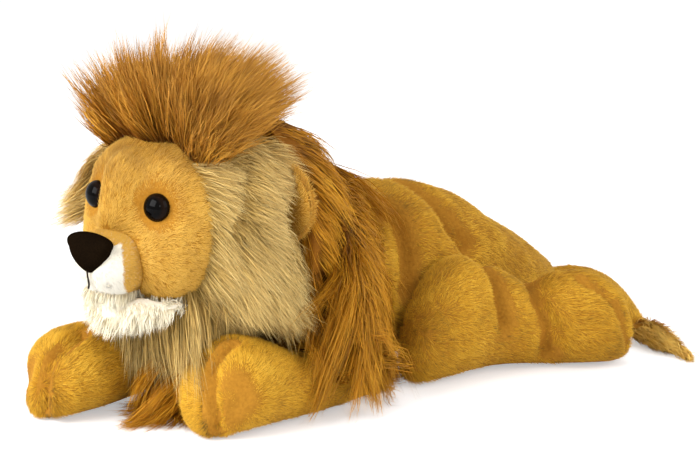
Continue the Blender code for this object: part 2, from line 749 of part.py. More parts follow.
def make_shoulder_mane():
    torso_grown = torso_form("torso_grown", -SEAM_GAP, CUTTERS, None)
    ball_room = ball("head_ball_room", NECK, (HEAD_BALL_RADIUS + SWING_GAP) / BALL_FLAT_SHARE)
    pad_room = neck_pad_room()
    for leg, word in ((LEFT_FORELEG, "left"), (RIGHT_FORELEG, "right")):
        side = leg["side"]
        mane = mane_form(f"mane_{word}")
        inner = side * SEAM_GAP / 2
        outer = side * CUTTER_REACH
        low = (min(inner, outer), -CUTTER_REACH, 0)
        high = (max(inner, outer), CUTTER_REACH, CUTTER_REACH)
        keep(mane, box(f"mane_side_{word}", low, high))
        sweep, root = leg_room(f"foreleg_room_{word}", leg)
        hip = Vector((side * (HIP_FLAT_X - SEAM_GAP), HIP_BACK, HIP_HEIGHT))
        hip_end = Vector((side * CUTTER_REACH, HIP_BACK, HIP_HEIGHT))
        sweep_radius = HIND_LEG_FRONT + HIP_BACK + HIP_ROOM
        hip_room = rod(f"hip_room_{word}", hip, hip_end, sweep_radius, segments=BALL_SEGMENTS)
        cut(mane, torso_grown, ball_room, pad_room, sweep, root, hip_room)
    back = NECK.y + CHEST_MANE_BACK_FROM_NECK
    chest = lengthwise_form("chest_mane", CHEST_MANE_SHARES, back, CHEST_MANE_LENGTH, CHEST_MANE_WIDTH,
                            -FLOOR_PRESS, CHEST_MANE_HEIGHT, 0, HAIR_SIDES, PART, MATERIALS["mane"],
                            CHEST_MANE_X)
    cut(chest, floor_box("chest_floor"), torso_grown, ball_room)


def make_foreleg(leg, shares, word):
    side = leg["side"]
    shoulder = shoulder_place(leg)
    long_half = STUFFING_OPENING_LENGTH / 2
    half = STUFFING_OPENING_WIDTH / 2
    inner, outer = sorted((shoulder.x, shoulder.x + side * 3 * CLOTH_THICKNESS))
    low = (inner, shoulder.y - long_half, shoulder.z - half)
    high = (outer, shoulder.y + long_half, shoulder.z + half)
    opening = box(f"foreleg_opening_{word}", low, high)
    wrist = -leg["back"] - PAW_POUCH_SHARE * leg["length"]
    reach = CUTTER_REACH
    low = (-reach, -reach, -reach)
    pouch_space = box(f"paw_pouch_space_{word}", low, (reach, wrist, reach))
    filling_space = box(f"paw_filling_space_{word}", low, (reach, wrist + SEAM_GAP, reach))
    stuffed(f"foreleg_{word}", foreleg_form(leg, shares), opening, MATERIALS["short_pile"],
            MATERIALS["filling"], (pouch_space, filling_space))


def make_hind_leg(hip, side, word):
    inner, outer = sorted((hip.x, hip.x + side * 3 * CLOTH_THICKNESS))
    long_half = STUFFING_OPENING_LENGTH / 2
    half = STUFFING_OPENING_WIDTH / 2
    low = (inner, hip.y - long_half, hip.z - half)
    high = (outer, hip.y + long_half, hip.z + half)
    opening = box(f"hind_leg_opening_{word}", low, high)
    ankle = HIND_LEG_BACK - PAW_POUCH_SHARE * HIND_LEG_FRONT
    reach = CUTTER_REACH
    high = (reach, reach, reach)
    pouch_space = box(f"foot_pouch_space_{word}", (-reach, ankle, -reach), high)
    filling_space = box(f"foot_filling_space_{word}", (-reach, ankle - SEAM_GAP, -reach), high)
    stuffed(f"hind_leg_{word}", hind_leg_form(side), opening, MATERIALS["short_pile"],
            MATERIALS["filling"], (pouch_space, filling_space))


def make_tail():
    half = STUFFING_OPENING_WIDTH / 2
    low = TAIL_ROOT - Vector((half, 2 * TAIL_ROOT_RADIUS, half))
    high = TAIL_ROOT + Vector((half, 0, half))
    opening = box("tail_opening", low, high)
    stuffed("tail", tail_form, opening, MATERIALS["short_pile"], MATERIALS["filling"])
    before, end = tail_centres()[-2:]
    heading = Matrix.Rotation(-TUFT_TURN, 3, "Z") @ (end - before).normalized()
    stations = []
    for along, full in TUFT_SHARES:
        half_width = full * TUFT_WIDTH / 2
        half_height = full * TAIL_DIAMETER / 2
        centre = end + heading * (along * TUFT_LENGTH - TAIL_DIAMETER / 2)
        stations.append((Vector((centre.x, centre.y, half_height - FLOOR_PRESS)), half_width, half_height))
    tuft = loft("tail_tuft", path_rings(stations), TAIL_SIDES, PART, MATERIALS["mane"])
    cut(tuft, floor_box("tuft_floor"), tail_form("tail_grown", -SEAM_GAP, CUTTERS, None))


def hang(name, place):
    # an empty on the joint's axis carries the pieces made since the last one
    pivot = bpy.data.objects.new(name, None)
    pivot.location = place
    for piece in PART.objects:
        if piece.type != "EMPTY" and not piece.parent:
            piece.parent = pivot
            piece.matrix_parent_inverse = Matrix.Translation(-place)
    PART.objects.link(pivot)


clear_scene()
PART = new_collection("plush_lion")
CUTTERS = new_collection("plush_lion_cutters")
MATERIALS = {
    "short_pile": make_material("short_pile", (0.58, 0.33, 0.10), 0.85),
    "mane": make_material("mane", (0.45, 0.19, 0.04), 0.80),
    "ruff": make_material("ruff", (0.50, 0.37, 0.18), 0.85),
    "white_pile": make_material("white_pile", (0.85, 0.80, 0.74), 0.90),
    "cream_pile": make_material("cream_pile", (0.80, 0.68, 0.48), 0.90),
    "eye": make_material("eye", (0.006, 0.005, 0.005), 0.08),
    "nose": make_material("nose", (0.045, 0.018, 0.012), 0.55),
    "thread": make_material("thread", (0.015, 0.012, 0.010), 0.70),
    "washer": make_material("washer", (0.80, 0.80, 0.78), 0.45),
    "filling": make_material("filling", (0.88, 0.88, 0.86), 0.95),
    "pouch": make_material("pouch", (0.70, 0.68, 0.62), 0.90),
}
NECK = Vector((0, -NECK_AHEAD, NECK_HEIGHT))
TAIL_ROOT = Vector((0, TAIL_BACK, TAIL_DIAMETER / 2 - FLOOR_PRESS))
SHOULDER_HEIGHT = FORELEG_HEIGHT * FORELEG_ROOT_SHARE / 2 - FLOOR_PRESS

make_torso()
make_shoulder_mane()
hang("belly_pivot", Vector())
make_neck_pad()
hang("neck_turn_pivot", NECK)
head_grown, muzzle_cutter = make_head()
make_mouth(muzzle_cutter)
make_ears(head_grown)
make_head_hair(head_grown)
hang("head_nod_pivot", NECK)
make_foreleg(LEFT_FORELEG, LEFT_FORELEG_SHARES, "left")
hang("shoulder_left_pivot", shoulder_place(LEFT_FORELEG))
make_foreleg(RIGHT_FORELEG, RIGHT_FORELEG_SHARES, "right")
hang("shoulder_right_pivot", shoulder_place(RIGHT_FORELEG))
for hip_side, hip_word in ((1, "left"), (-1, "right")):
    hip_place = Vector((hip_side * HIP_FLAT_X, HIP_BACK, HIP_HEIGHT))
    make_hind_leg(hip_place, hip_side, hip_word)
    hang(f"hip_{hip_word}_pivot", hip_place)
make_tail()
hang("tail_pivot", TAIL_ROOT)
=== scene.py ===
import math

import bmesh
import bpy
import numpy as np
from mathutils import Matrix, Vector
from mathutils.bvhtree import BVHTree
from mathutils.kdtree import KDTree


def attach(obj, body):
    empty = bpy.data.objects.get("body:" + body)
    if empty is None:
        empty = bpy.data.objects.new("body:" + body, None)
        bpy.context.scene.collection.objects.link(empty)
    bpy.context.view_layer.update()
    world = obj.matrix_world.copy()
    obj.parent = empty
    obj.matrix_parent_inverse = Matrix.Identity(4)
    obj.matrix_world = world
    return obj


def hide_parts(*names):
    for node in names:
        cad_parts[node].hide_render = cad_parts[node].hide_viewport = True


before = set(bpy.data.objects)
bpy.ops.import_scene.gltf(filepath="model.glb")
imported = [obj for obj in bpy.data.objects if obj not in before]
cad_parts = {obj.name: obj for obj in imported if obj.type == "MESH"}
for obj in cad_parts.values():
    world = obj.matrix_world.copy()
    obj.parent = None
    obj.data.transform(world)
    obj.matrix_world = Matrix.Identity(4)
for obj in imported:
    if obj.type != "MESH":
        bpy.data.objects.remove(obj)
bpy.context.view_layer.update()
up = Vector((0, 0, 1))
neck = Vector((0, -0.098, 0.08))  # the middle of the head's turn
floorLift = 0.0004  # how far the pile stays off the floor
mapName = "OFBake"
bothSides = ((1, "left"), (-1, "right"))


# Camera and studio
view = {"target": (-0.007, 0, 0.06), "azimuth": 42, "elevation": 14, "distance": 1.05, "lens": 110.57}
studio = {
    "fill": 0.56, "backdrop": 1.0,
    "key": (14.5, 0.7, (-0.2, -1.0, 0.62)),  # watts, size, place
    "side": (6.0, 0.9, (1.0, 0.2, 0.62)),
    "top": (2.4, 0.8, (0.0, 0.45, 1.15)),
    "glint": (0.9, 0.05, (0.66, -0.76, 0.42)),
    "floorColour": (0.8, 0.8, 0.8, 1), "floorGlow": 0.42,
}


def fromSrgb(*levels):
    return (*[((level / 255 + 0.055) / 1.055) ** 2.4 for level in levels], 1)


class Wire:
    # a shader socket that can be used in sums
    def __init__(self, tree, socket=None):
        self.tree = tree
        self.socket = socket

    def add(self, kind, settings=None, inputs=None, output=0):
        node = self.tree.nodes.new("ShaderNode" + kind)
        for name, value in (settings or {}).items():
            if name == "stops":
                ramp = node.color_ramp
                ramp.elements.remove(ramp.elements[1])
                ramp.elements[0].position, ramp.elements[0].color = value[0]
                for place, colour in value[1:]:
                    ramp.elements.new(place).color = colour
            else:
                setattr(node, name, value)
        for name, value in (inputs or {}).items():
            if isinstance(value, Wire):
                self.tree.links.new(value.socket, node.inputs[name])
            else:
                node.inputs[name].default_value = value
        return Wire(self.tree, node.outputs[output])

    def other(self, name):
        return Wire(self.tree, self.socket.node.outputs[name])

    def maths(self, operation, first, second):
        return self.add("Math", {"operation": operation}, {0: first, 1: second})

    def mix(self, factor, first, second):
        return self.add("Mix", {"data_type": "RGBA"}, {0: factor, 6: first, 7: second}, 2)

    def __add__(self, other):
        return self.maths("ADD", self, other)

    def __sub__(self, other):
        return self.maths("SUBTRACT", self, other)

    def __mul__(self, other):
        return self.maths("MULTIPLY", self, other)

    def __pow__(self, other):
        return self.maths("POWER", self, other)


def newFinish(name, constants):
    material = bpy.data.materials.new(name)
    material.use_nodes = True
    shader = material.node_tree.nodes["Principled BSDF"]
    for socket, value in constants.items():
        shader.inputs[socket].default_value = value
    return material, Wire(material.node_tree), shader


def plug(shader, socket, wire):
    wire.tree.links.new(wire.socket, shader.inputs[socket])


def pileFinish(name, tones, root, tip, tipShare=0.35, roughness=0.66, sheen=0.3):
    # u picks a strand's tone and v runs from its root to its tip
    material, wire, shader = newFinish(name, {
        "Sheen Weight": sheen, "Sheen Roughness": 0.42, "Sheen Tint": fromSrgb(*tip),
        "Specular IOR Level": 0.14})
    axes = wire.add("SeparateXYZ", {}, {0: wire.add("UVMap", {"uv_map": mapName})})
    along = axes.other("Y")
    stops = [(index / (len(tones) - 1), fromSrgb(*tone)) for index, tone in enumerate(tones)]
    hair = wire.add("ValToRGB", {"stops": stops}, {0: axes})
    rooted = wire.mix(wire.add("MapRange", {"interpolation_type": "SMOOTHSTEP"}, {0: along, 2: 0.55}),
                      fromSrgb(*root), hair)
    tipped = wire.mix(along ** 2.2 * tipShare, rooted, fromSrgb(*tip))
    plug(shader, "Base Color", tipped)
    plug(shader, "Roughness", axes * 0.12 + (roughness - 0.06))
    return material


def clothFinish(name, dark, light, grain=700.0, depth=0.0008, roughness=0.85, gloss=0.1):
    material, wire, shader = newFinish(name, {"Specular IOR Level": gloss})
    place = wire.add("TexCoord").other("Object")
    patch = wire.add("TexNoise", {}, {"Vector": place, "Scale": 38.0, "Detail": 3.0})
    fine = wire.add("TexNoise", {}, {"Vector": place, "Scale": grain, "Detail": 2.0})
    colour = wire.add("ValToRGB", {"stops": [(0.3, fromSrgb(*dark)), (0.7, fromSrgb(*light))]},
                      {0: patch * 0.55 + fine * 0.45})
    plug(shader, "Base Color", colour)
    plug(shader, "Roughness", fine * 0.15 + (roughness - 0.07))
    plug(shader, "Normal", wire.add("Bump", {}, {"Strength": 0.5, "Distance": depth, "Height": fine}))
    return material


def eyeFinish():
    # dark brown glass, lighter in a thin ring by its edge
    material, wire, shader = newFinish("eye_glass", {"Specular IOR Level": 0.05, "IOR": 1.5})
    rim = wire.add("Attribute", {"attribute_name": "rim"}).other("Fac")
    place = wire.add("TexCoord").other("Object")
    fleck = wire.add("TexNoise", {}, {"Vector": place, "Scale": 900.0})
    stops = [(0.0, fromSrgb(4, 3, 3)), (0.66, fromSrgb(6, 4, 3)), (0.88, fromSrgb(26, 14, 7)),
             (1.0, fromSrgb(14, 8, 4))]
    plug(shader, "Base Color", wire.add("ValToRGB", {"stops": stops}, {0: rim + fleck * 0.06 - 0.03}))
    plug(shader, "Roughness", fleck * 0.04 + 0.06)
    return material


finishes = {
    "short": pileFinish("short_pile_strands", [(64, 36, 4), (182, 124, 14), (212, 156, 30), (236, 189, 64)],
                        (140, 88, 10), (248, 204, 88)),
    "face": pileFinish("face_pile_strands", [(140, 90, 18), (198, 144, 40), (220, 169, 60), (242, 201, 98)],
                       (150, 98, 26), (248, 212, 128)),
    "mane": pileFinish("mane_strands", [(112, 62, 6), (168, 104, 10), (198, 132, 20), (226, 166, 46)],
                       (104, 60, 6), (234, 180, 64), 0.45, 0.54, 0.1),
    "crest": pileFinish("crest_strands", [(120, 68, 10), (168, 106, 16), (196, 134, 30), (222, 166, 58)],
                        (100, 58, 12), (228, 178, 90), 0.45, 0.54, 0.1),
    "ruff": pileFinish("ruff_strands", [(118, 92, 38), (196, 158, 82), (228, 192, 112), (246, 218, 148)],
                       (150, 118, 58), (250, 226, 160), 0.45, 0.58, 0.1),
    "white": pileFinish("white_pile_strands",
                        [(120, 106, 90), (240, 233, 216), (248, 243, 230), (253, 250, 240)],
                        (226, 216, 196), (255, 253, 246), 0.5, 0.7, 0.1),
    "cream": pileFinish("cream_strands", [(236, 222, 186), (250, 240, 212), (255, 248, 228)],
                        (214, 194, 150), (255, 251, 236), 0.5, 0.62),
    "shortCloth": clothFinish("short_pile_cloth", (146, 96, 24), (186, 130, 42)),
    "maneCloth": clothFinish("mane_cloth", (112, 66, 14), (154, 98, 26)),
    "ruffCloth": clothFinish("ruff_cloth", (112, 86, 42), (156, 122, 68)),
    "whiteCloth": clothFinish("white_cloth", (228, 218, 196), (246, 240, 224)),
    "nose": clothFinish("nose_velour", (13, 8, 4), (27, 18, 9), 1500.0, 0.0003, 0.8, 0.0),
    "thread": clothFinish("stitch_thread", (30, 22, 17), (62, 50, 42), 3000.0, 0.0002, 0.7),
    "washer": clothFinish("washer_plastic", (196, 194, 188), (222, 220, 214), 1200.0, 0.0001, 0.4),
    "eye": eyeFinish(),
}
print("finishes made")


def seenDirectly(wire):
    # 1 for what the camera sees straight, in a reflection or through glass
    path = wire.add("LightPath")
    seen = wire.maths("MAXIMUM", path.other("Is Camera Ray"), path.other("Is Glossy Ray"))
    return wire.maths("MAXIMUM", seen, path.other("Is Transmission Ray"))


def aimAt(thing, target):
    thing.rotation_euler = (Vector(target) - thing.location).to_track_quat("-Z", "Y").to_euler()


def newObject(name, data):
    thing = bpy.data.objects.new(name, data)
    bpy.context.scene.collection.objects.link(thing)
    return thing


def makeStudio():
    turn, rise = math.radians(view["azimuth"]), math.radians(view["elevation"])
    away = Vector((math.sin(turn) * math.cos(rise), -math.cos(turn) * math.cos(rise), math.sin(rise)))
    lens = bpy.data.cameras.new("camera")
    lens.lens = view["lens"]
    lens.sensor_width = 36
    camera = newObject("camera", lens)
    camera.location = Vector(view["target"]) + away * view["distance"]
    aimAt(camera, view["target"])
    bpy.context.scene.camera = camera
    for name in ("key", "side", "top", "glint"):
        watts, size, place = studio[name]
        light = bpy.data.lights.new(name, "AREA")
        light.energy, light.size = watts, size
        lamp = newObject(name, light)
        lamp.location = place
        aimAt(lamp, (0, -0.03, 0.05))
    world = bpy.data.worlds.new("studio")
    world.use_nodes = True
    bpy.context.scene.world = world
    seen = seenDirectly(Wire(world.node_tree))
    back = world.node_tree.nodes["Background"]
    back.inputs["Color"].default_value = (1, 1, 1, 1)
    plug(back, "Strength", seen * (studio["backdrop"] - studio["fill"]) + studio["fill"])
    bm = bmesh.new()
    bmesh.ops.create_grid(bm, x_segments=2, y_segments=2, size=6)
    floor = linked("floor", bm)
    material, wire, shader = newFinish("studio_floor", {
        "Roughness": 0.9, "Base Color": studio["floorColour"]})
    strength = seenDirectly(wire) * studio["floorGlow"]
    glow = wire.add("Emission", {}, {"Color": (1, 1, 1, 1), "Strength": strength})
    both = wire.add("AddShader", {}, {0: Wire(wire.tree, shader.outputs[0]), 1: glow})
    wire.tree.links.new(both.socket, wire.tree.nodes["Material Output"].inputs["Surface"])
    floor.data.materials.append(material)


# Small mesh helpers
def linkedMesh(name, mesh):
    mesh.shade_smooth()
    return newObject(name, mesh)


def linked(name, bm):
    mesh = bpy.data.meshes.new(name)
    bm.to_mesh(mesh)
    bm.free()
    return linkedMesh(name, mesh)


def ball(across, upward):
    # a sphere whose faces are put in one order, because they come in another order on each run
    bm = bmesh.new()
    bmesh.ops.create_uvsphere(bm, u_segments=across, v_segments=upward, radius=1)
    bm.verts.index_update()
    rows = sorted(([vert.index for vert in face.verts] for face in bm.faces), key=sorted)
    places = [vert.co.copy() for vert in bm.verts]
    bm.clear()
    verts = [bm.verts.new(place) for place in places]
    for row in rows:
        bm.faces.new([verts[index] for index in row])
    return bm


def meshOf(thing):
    return bpy.data.meshes.new_from_object(thing.evaluated_get(bpy.context.evaluated_depsgraph_get()))


def settle(piece):
    # turns a piece's modifiers into its mesh
    mesh = meshOf(piece)
    piece.modifiers.clear()
    piece.data = mesh
    mesh.shade_smooth()
    return piece


def unit(vectors):
    return vectors / np.maximum(np.linalg.norm(vectors, axis=-1, keepdims=True), 1e-9)


def readPoints(piece):
    points = np.empty(len(piece.data.vertices) * 3)
    piece.data.vertices.foreach_get("co", points)
    outward = np.empty_like(points)
    piece.data.vertex_normals.foreach_get("vector", outward)
    return points.reshape(-1, 3), outward.reshape(-1, 3)


def writePoints(piece, points):
    piece.data.vertices.foreach_set("co", points.ravel())
    piece.data.update()


def drift(points, size, seed):
    # smooth noise, mostly between -1 and 1
    random = np.random.default_rng(seed)
    waves = unit(random.normal(size=(9, 3))) * random.uniform(0.5, 1.7, (9, 1)) * 2 * math.pi / size
    return np.sin(points @ waves.T + random.uniform(0, 6.28, 9)).sum(1) / 3


def driftAround(points, size, seed):
    return np.stack([drift(points, size, seed + axis) for axis in range(3)], 1)


def lineDistance(points, line):
    # how far each point is from a line through these places
    line = np.array(line)
    nearest = np.full(len(points), 9.0)
    for start, end in zip(line, line[1:]):
        run = end - start
        share = np.clip((points - start) @ run / (run @ run), 0, 1)
        nearest = np.minimum(nearest, np.linalg.norm(points - start - share[:, None] * run, axis=1))
    return nearest


def treeOf(piece):
    return BVHTree.FromObject(piece, bpy.context.evaluated_depsgraph_get())


def fromFront(tree, x, z):
    # where a look from straight ahead meets a form, and the way that it faces there
    return tree.ray_cast(Vector((x, -0.5, z)), Vector((0, 1, 0)))[:2]


def closest(tree, points):
    near, ways = np.empty_like(points), np.empty_like(points)
    for index, point in enumerate(points):
        place, way, _, _ = tree.find_nearest(Vector(point))
        near[index], ways[index] = place, way
    return near, ways


def onto(form, line):
    # a finer line that lies on the form; the line is given in millimetres
    line = np.array(line) / 1000
    parts = [np.linspace(start, end, 5, endpoint=False) for start, end in zip(line, line[1:])]
    return closest(treeOf(form), np.concatenate(parts + [line[-1:]]))[0]


def shape(piece, moves):
    # grooves and ridges follow lines, in millimetres; a lump is a line of two close points
    for line, width, depth in moves:
        points, outward = readPoints(piece)
        fall = np.exp(-(lineDistance(points, onto(piece, line)) / width) ** 2)
        writePoints(piece, points - outward * (fall * depth)[:, None])


def onBothSides(moves):
    # a line that starts off the middle is there on the other side as well
    return [(np.array(line) * (side, 1, 1), width, depth) for line, width, depth in moves
            for side in ((1, -1) if line[0][0] else (1,))]


def clearOf(piece, limits):
    # keeps a piece within its own room: off the floor, out of balls, inside or outside flat seats
    points, _ = readPoints(piece)
    points[:, 2] = np.maximum(points[:, 2], 0.0003)
    for kind, *values in limits:
        if kind == "ball":
            centre, radius = np.array(values[0]), values[1]
            away = points - centre
            far = np.linalg.norm(away, axis=1, keepdims=True)
            points = np.where(far < radius, centre + away / far * radius, points)
        else:
            side, seat, low, high = values
            past = side * points[:, 0] < seat if kind == "outside" else side * points[:, 0] > seat
            points[past & (points[:, 1] > low) & (points[:, 1] < high), 0] = side * seat
    writePoints(piece, points)


cloth = {"voxel": 0.0045, "pressure": 4.0, "frames": 20}


def blowOut(piece, cap):
    # cloth simulation: the filling presses the skin out, and no point moves further than the cap
    remesh = piece.modifiers.new("even", "REMESH")
    remesh.mode, remesh.voxel_size = "VOXEL", cloth["voxel"]
    settle(piece)
    start, _ = readPoints(piece)
    skin = piece.modifiers.new("skin", "CLOTH").settings
    skin.use_pressure, skin.uniform_pressure_force = True, cloth["pressure"]
    skin.effector_weights.gravity = 0
    for number in range(1, cloth["frames"] + 1):
        bpy.context.scene.frame_set(number)
    settle(piece)
    moved = readPoints(piece)[0] - start
    far = np.linalg.norm(moved, axis=1, keepdims=True)
    print(piece.name, "moved", far.mean().round(5), far.max().round(5))
    writePoints(piece, start + moved * np.minimum(1, cap / np.maximum(far, 1e-9)))
    bpy.context.scene.frame_set(1)
    fine = piece.modifiers.new("fine", "SUBSURF")
    fine.levels = fine.render_levels = 1
    return settle(piece)


def loft(name, rings, sides):
    # rings are (centre, forward, half width, half height), each with its ends closed
    full = (4 + 2 * math.cos(2 * math.pi / sides)) / 6
    bm = bmesh.new()
    loops = []
    for index, (centre, forward, halfWidth, halfHeight) in enumerate(rings):
        across = forward.cross(up).normalized()
        rise = across.cross(forward).normalized()
        turn = Matrix((across * halfWidth / full, rise * halfHeight / full, forward)).transposed().to_4x4()
        circle = bmesh.ops.create_circle(bm, cap_ends=index in (0, len(rings) - 1), segments=sides, radius=1,
                                         matrix=Matrix.Translation(centre) @ turn)
        loops.append(list({edge for vert in circle["verts"] for edge in vert.link_edges}))
    for first, second in zip(loops, loops[1:]):
        bmesh.ops.bridge_loops(bm, edges=first + second)
    bmesh.ops.recalc_face_normals(bm, faces=bm.faces)
    piece = linked(name, bm)
    stuffed = piece.modifiers.new("stuffed", "SUBSURF")
    stuffed.levels = stuffed.render_levels = 3
    return settle(piece)


def ahead(form, back, length):
    # rings from a form's back end towards -Y
    inset, rings = form["inset"], []
    width, height = form["width"] - 2 * inset, form["height"] - 2 * inset
    for along, wide, top, low in form["shares"]:
        centre = Vector((0, back - along * length, neck.z - form["below"] + inset + (top + low) / 2 * height))
        rings.append((centre, Vector((0, -1, 0)), wide * width / 2, (top - low) / 2 * height))
    return rings


def follow(stations):
    # each ring stands square to the path through the stations
    rings = []
    for index, (centre, halfWidth, halfHeight) in enumerate(stations):
        forward = stations[min(index + 1, len(stations) - 1)][0] - stations[max(index - 1, 0)][0]
        forward.z = 0
        rings.append((centre, forward.normalized(), halfWidth, halfHeight))
    return rings


def dress(piece, body, slot, finish, *nodes):
    piece.data.materials.clear()
    piece.data.materials.append(finishes[finish])
    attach(piece, body)
    if nodes:
        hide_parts(*nodes)


# Pile and hair: flat strands on a form. In a look, p holds rows of x, y and z of places on the form,
# w holds the ways that the form faces there, comb says how hair lies and keep says where it grows.
def everywhere(p, w):
    return np.ones(p.shape[1], bool)


pileLook = {
    "swirl": 0.018, "stray": 0.24, "tuft": 0.005, "ruffle": 0.13, "untidy": 0.14, "stand": 0.13,
    "patch": 0.045, "fleck": 0.014, "tone": 0.52, "mixed": 0.19, "bare": [], "seamsAndShade": [], "keep": everywhere,
    "bareReach": 2.1, "bareComb": 3.2, "bareDark": 0.3, "bareShort": 0.45, "seamShort": 0.75,
}
hairLook = {
    "tone": 0.5, "mixed": 0.14, "lockTone": 0.13, "frizz": 0.0016, "shortest": 0.55, "gatherFrom": 0.9,
    "sunk": 0.001, "soft": 0.4, "shortLock": 0.7, "wave": 0.03, "free": 0.45, "over": [], "overLift": 0.003,
    "overReach": 0.03, "keep": everywhere,
}


def farFrom(place, p):
    return np.linalg.norm(p.T - np.array(place), axis=1)


def combed(look, points):
    return unit(np.stack(np.broadcast_arrays(*look["comb"](points.T)), 1))


def graded(look, key, points):
    return look[key](points.T) if key in look else 0


def strandCard(steps):
    # one strand as a strip that ends in a point: its corners' side and step, and its faces
    bm = bmesh.new()
    bmesh.ops.create_grid(bm, x_segments=1, y_segments=steps, size=1)
    bmesh.ops.pointmerge(bm, verts=[vert for vert in bm.verts if vert.co.y > 0.999], merge_co=(0, 1, 0))
    bm.verts.index_update()
    corners = [(vert.co.x, round((vert.co.y + 1) / 2 * steps)) for vert in bm.verts]
    faces = [[vert.index for vert in face.verts] for face in bm.faces]
    bm.free()
    return np.array(corners), faces


def plant(name, paths, facing, widths, tones, ways, soft):
    # every strand is a copy of one card, bent along its own path and lit partly as the form under it
    count, steps = len(paths), paths.shape[1] - 1
    corners, faces = strandCard(steps)
    step = corners[:, 1].astype(int)
    run = unit(np.gradient(paths, axis=1))
    sides = unit(np.cross(run, facing[:, None]))
    share = np.linspace(0, 1, steps + 1)
    taper = np.minimum(0.55 + share * 2, 1) * (1 - share ** 2.2) + 0.02 if steps > 1 else 1 - share
    half = widths[:, None] / 2 * taper[step] * corners[:, 0]
    points = paths[:, step] + sides[:, step] * half[..., None]
    points[..., 2] = np.maximum(points[..., 2], floorLift)
    order = np.concatenate([np.array(face) for face in faces])
    lengths = np.array([len(face) for face in faces])
    starts = np.concatenate([[0], np.cumsum(lengths)[:-1]])
    mesh = bpy.data.meshes.new(name)
    mesh.vertices.add(count * len(corners))
    mesh.vertices.foreach_set("co", points.ravel())
    mesh.loops.add(count * len(order))
    mesh.loops.foreach_set("vertex_index", (order + np.arange(count)[:, None] * len(corners)).ravel())
    mesh.polygons.add(count * len(faces))
    mesh.polygons.foreach_set("loop_start", (starts + np.arange(count)[:, None] * len(order)).ravel())
    mesh.update(calc_edges=True)
    across = 0.02 + 0.93 * tones[:, None] + (corners[order, 0] + 1) * 0.012
    along = np.broadcast_to(0.02 + 0.96 * corners[order, 1] / steps, across.shape)
    layer = mesh.uv_layers.new(name=mapName)
    layer.data.foreach_set("uv", np.stack([across, along], -1).ravel())
    piece = linkedMesh(name, mesh)
    flat = unit(np.cross(sides, run))[:, step] + sides[:, step] * (corners[:, 0] * 0.3)[None, :, None]
    lit = unit(flat * (1 - soft) + ways[:, None] * soft)
    mesh.normals_split_custom_set_from_vertices(lit.reshape(-1, 3))
    print(name, count, "strands,", count * (2 * steps - 1), "triangles")
    return piece


def scatter(form, count, seed, keep):
    # random places on a form and the way that it faces there
    points, outward = readPoints(form)
    form.data.calc_loop_triangles()
    corners = np.empty(len(form.data.loop_triangles) * 3, dtype=np.int32)
    form.data.loop_triangles.foreach_get("vertices", corners)
    corners = corners.reshape(-1, 3)
    first, second, third = points[corners[:, 0]], points[corners[:, 1]], points[corners[:, 2]]
    area = np.linalg.norm(np.cross(second - first, third - first), axis=1)
    random = np.random.default_rng(seed)
    places, ways = [], []
    for _ in range(30):
        pick = corners[random.choice(len(corners), count, p=area / area.sum())]
        weight = random.dirichlet((1, 1, 1), count)
        place = (points[pick] * weight[..., None]).sum(1)
        way = unit((outward[pick] * weight[..., None]).sum(1))
        good = keep(place.T, way.T)
        places.append(place[good])
        ways.append(way[good])
        if sum(len(part) for part in places) >= count:
            break
    return np.concatenate(places)[:count], np.concatenate(ways)[:count]


def offFloor(p, w):
    return (p[2] > 0.0012) | (w[2] > -0.3)


def shortPile(name, form, look, *worn):
    # short straight strands that lie over along the comb
    look = dict(pileLook, **look)
    seed = look["seed"]
    roots, ways = scatter(form, look["strands"], seed, lambda p, w: offFloor(p, w) & look["keep"](p, w))
    count = len(roots)
    random = np.random.default_rng(seed + 7)
    comb = combed(look, roots) + driftAround(roots, look["swirl"], seed) * look["stray"]
    comb += driftAround(roots, look["tuft"], seed + 3) * look["ruffle"]
    comb += random.normal(size=roots.shape) * look["untidy"]
    lengths = look["length"] * random.uniform(0.7, 1.15, count)
    tones = look["tone"] + drift(roots, look["patch"], seed + 5) * 0.08
    tones += drift(roots, look["fleck"], seed + 6) * 0.09 + graded(look, "grade", roots)
    for centre, radius in look["bare"]:
        away = roots - np.array(centre)
        near = np.clip(look["bareReach"] - np.linalg.norm(away, axis=1) / radius, 0, 1)
        comb += unit(away) * (near * look["bareComb"])[:, None]
        tones -= near * look["bareDark"]
        lengths *= 1 - near * look["bareShort"]
    # the pile is darker along the given lines: the seams' and marks' own dark colour, and painted shade in
    # creases, dents and seam grooves
    for line, width, dark in look["seamsAndShade"]:
        near = np.exp(-(lineDistance(roots, onto(form, line)) / width) ** 2)
        lengths *= 1 - near * look["seamShort"]
        tones -= near * dark
    flat = unit(comb - ways * (comb * ways).sum(1, keepdims=True))
    lean = flat * 0.94 + ways * (look["stand"] + random.normal(size=(count, 1)) * 0.08)
    start = roots - ways * 0.0004
    paths = np.stack([start, start + lean * lengths[:, None]], 1)
    tones = np.clip(tones + random.normal(size=count) * look["mixed"], 0, 1)
    facing = unit(ways + random.normal(size=roots.shape) * 0.25)
    widths = random.uniform(0.75, 1.2, count) * look["width"]
    dress(plant(name, paths, facing, widths, tones, ways, 0.8), *worn)


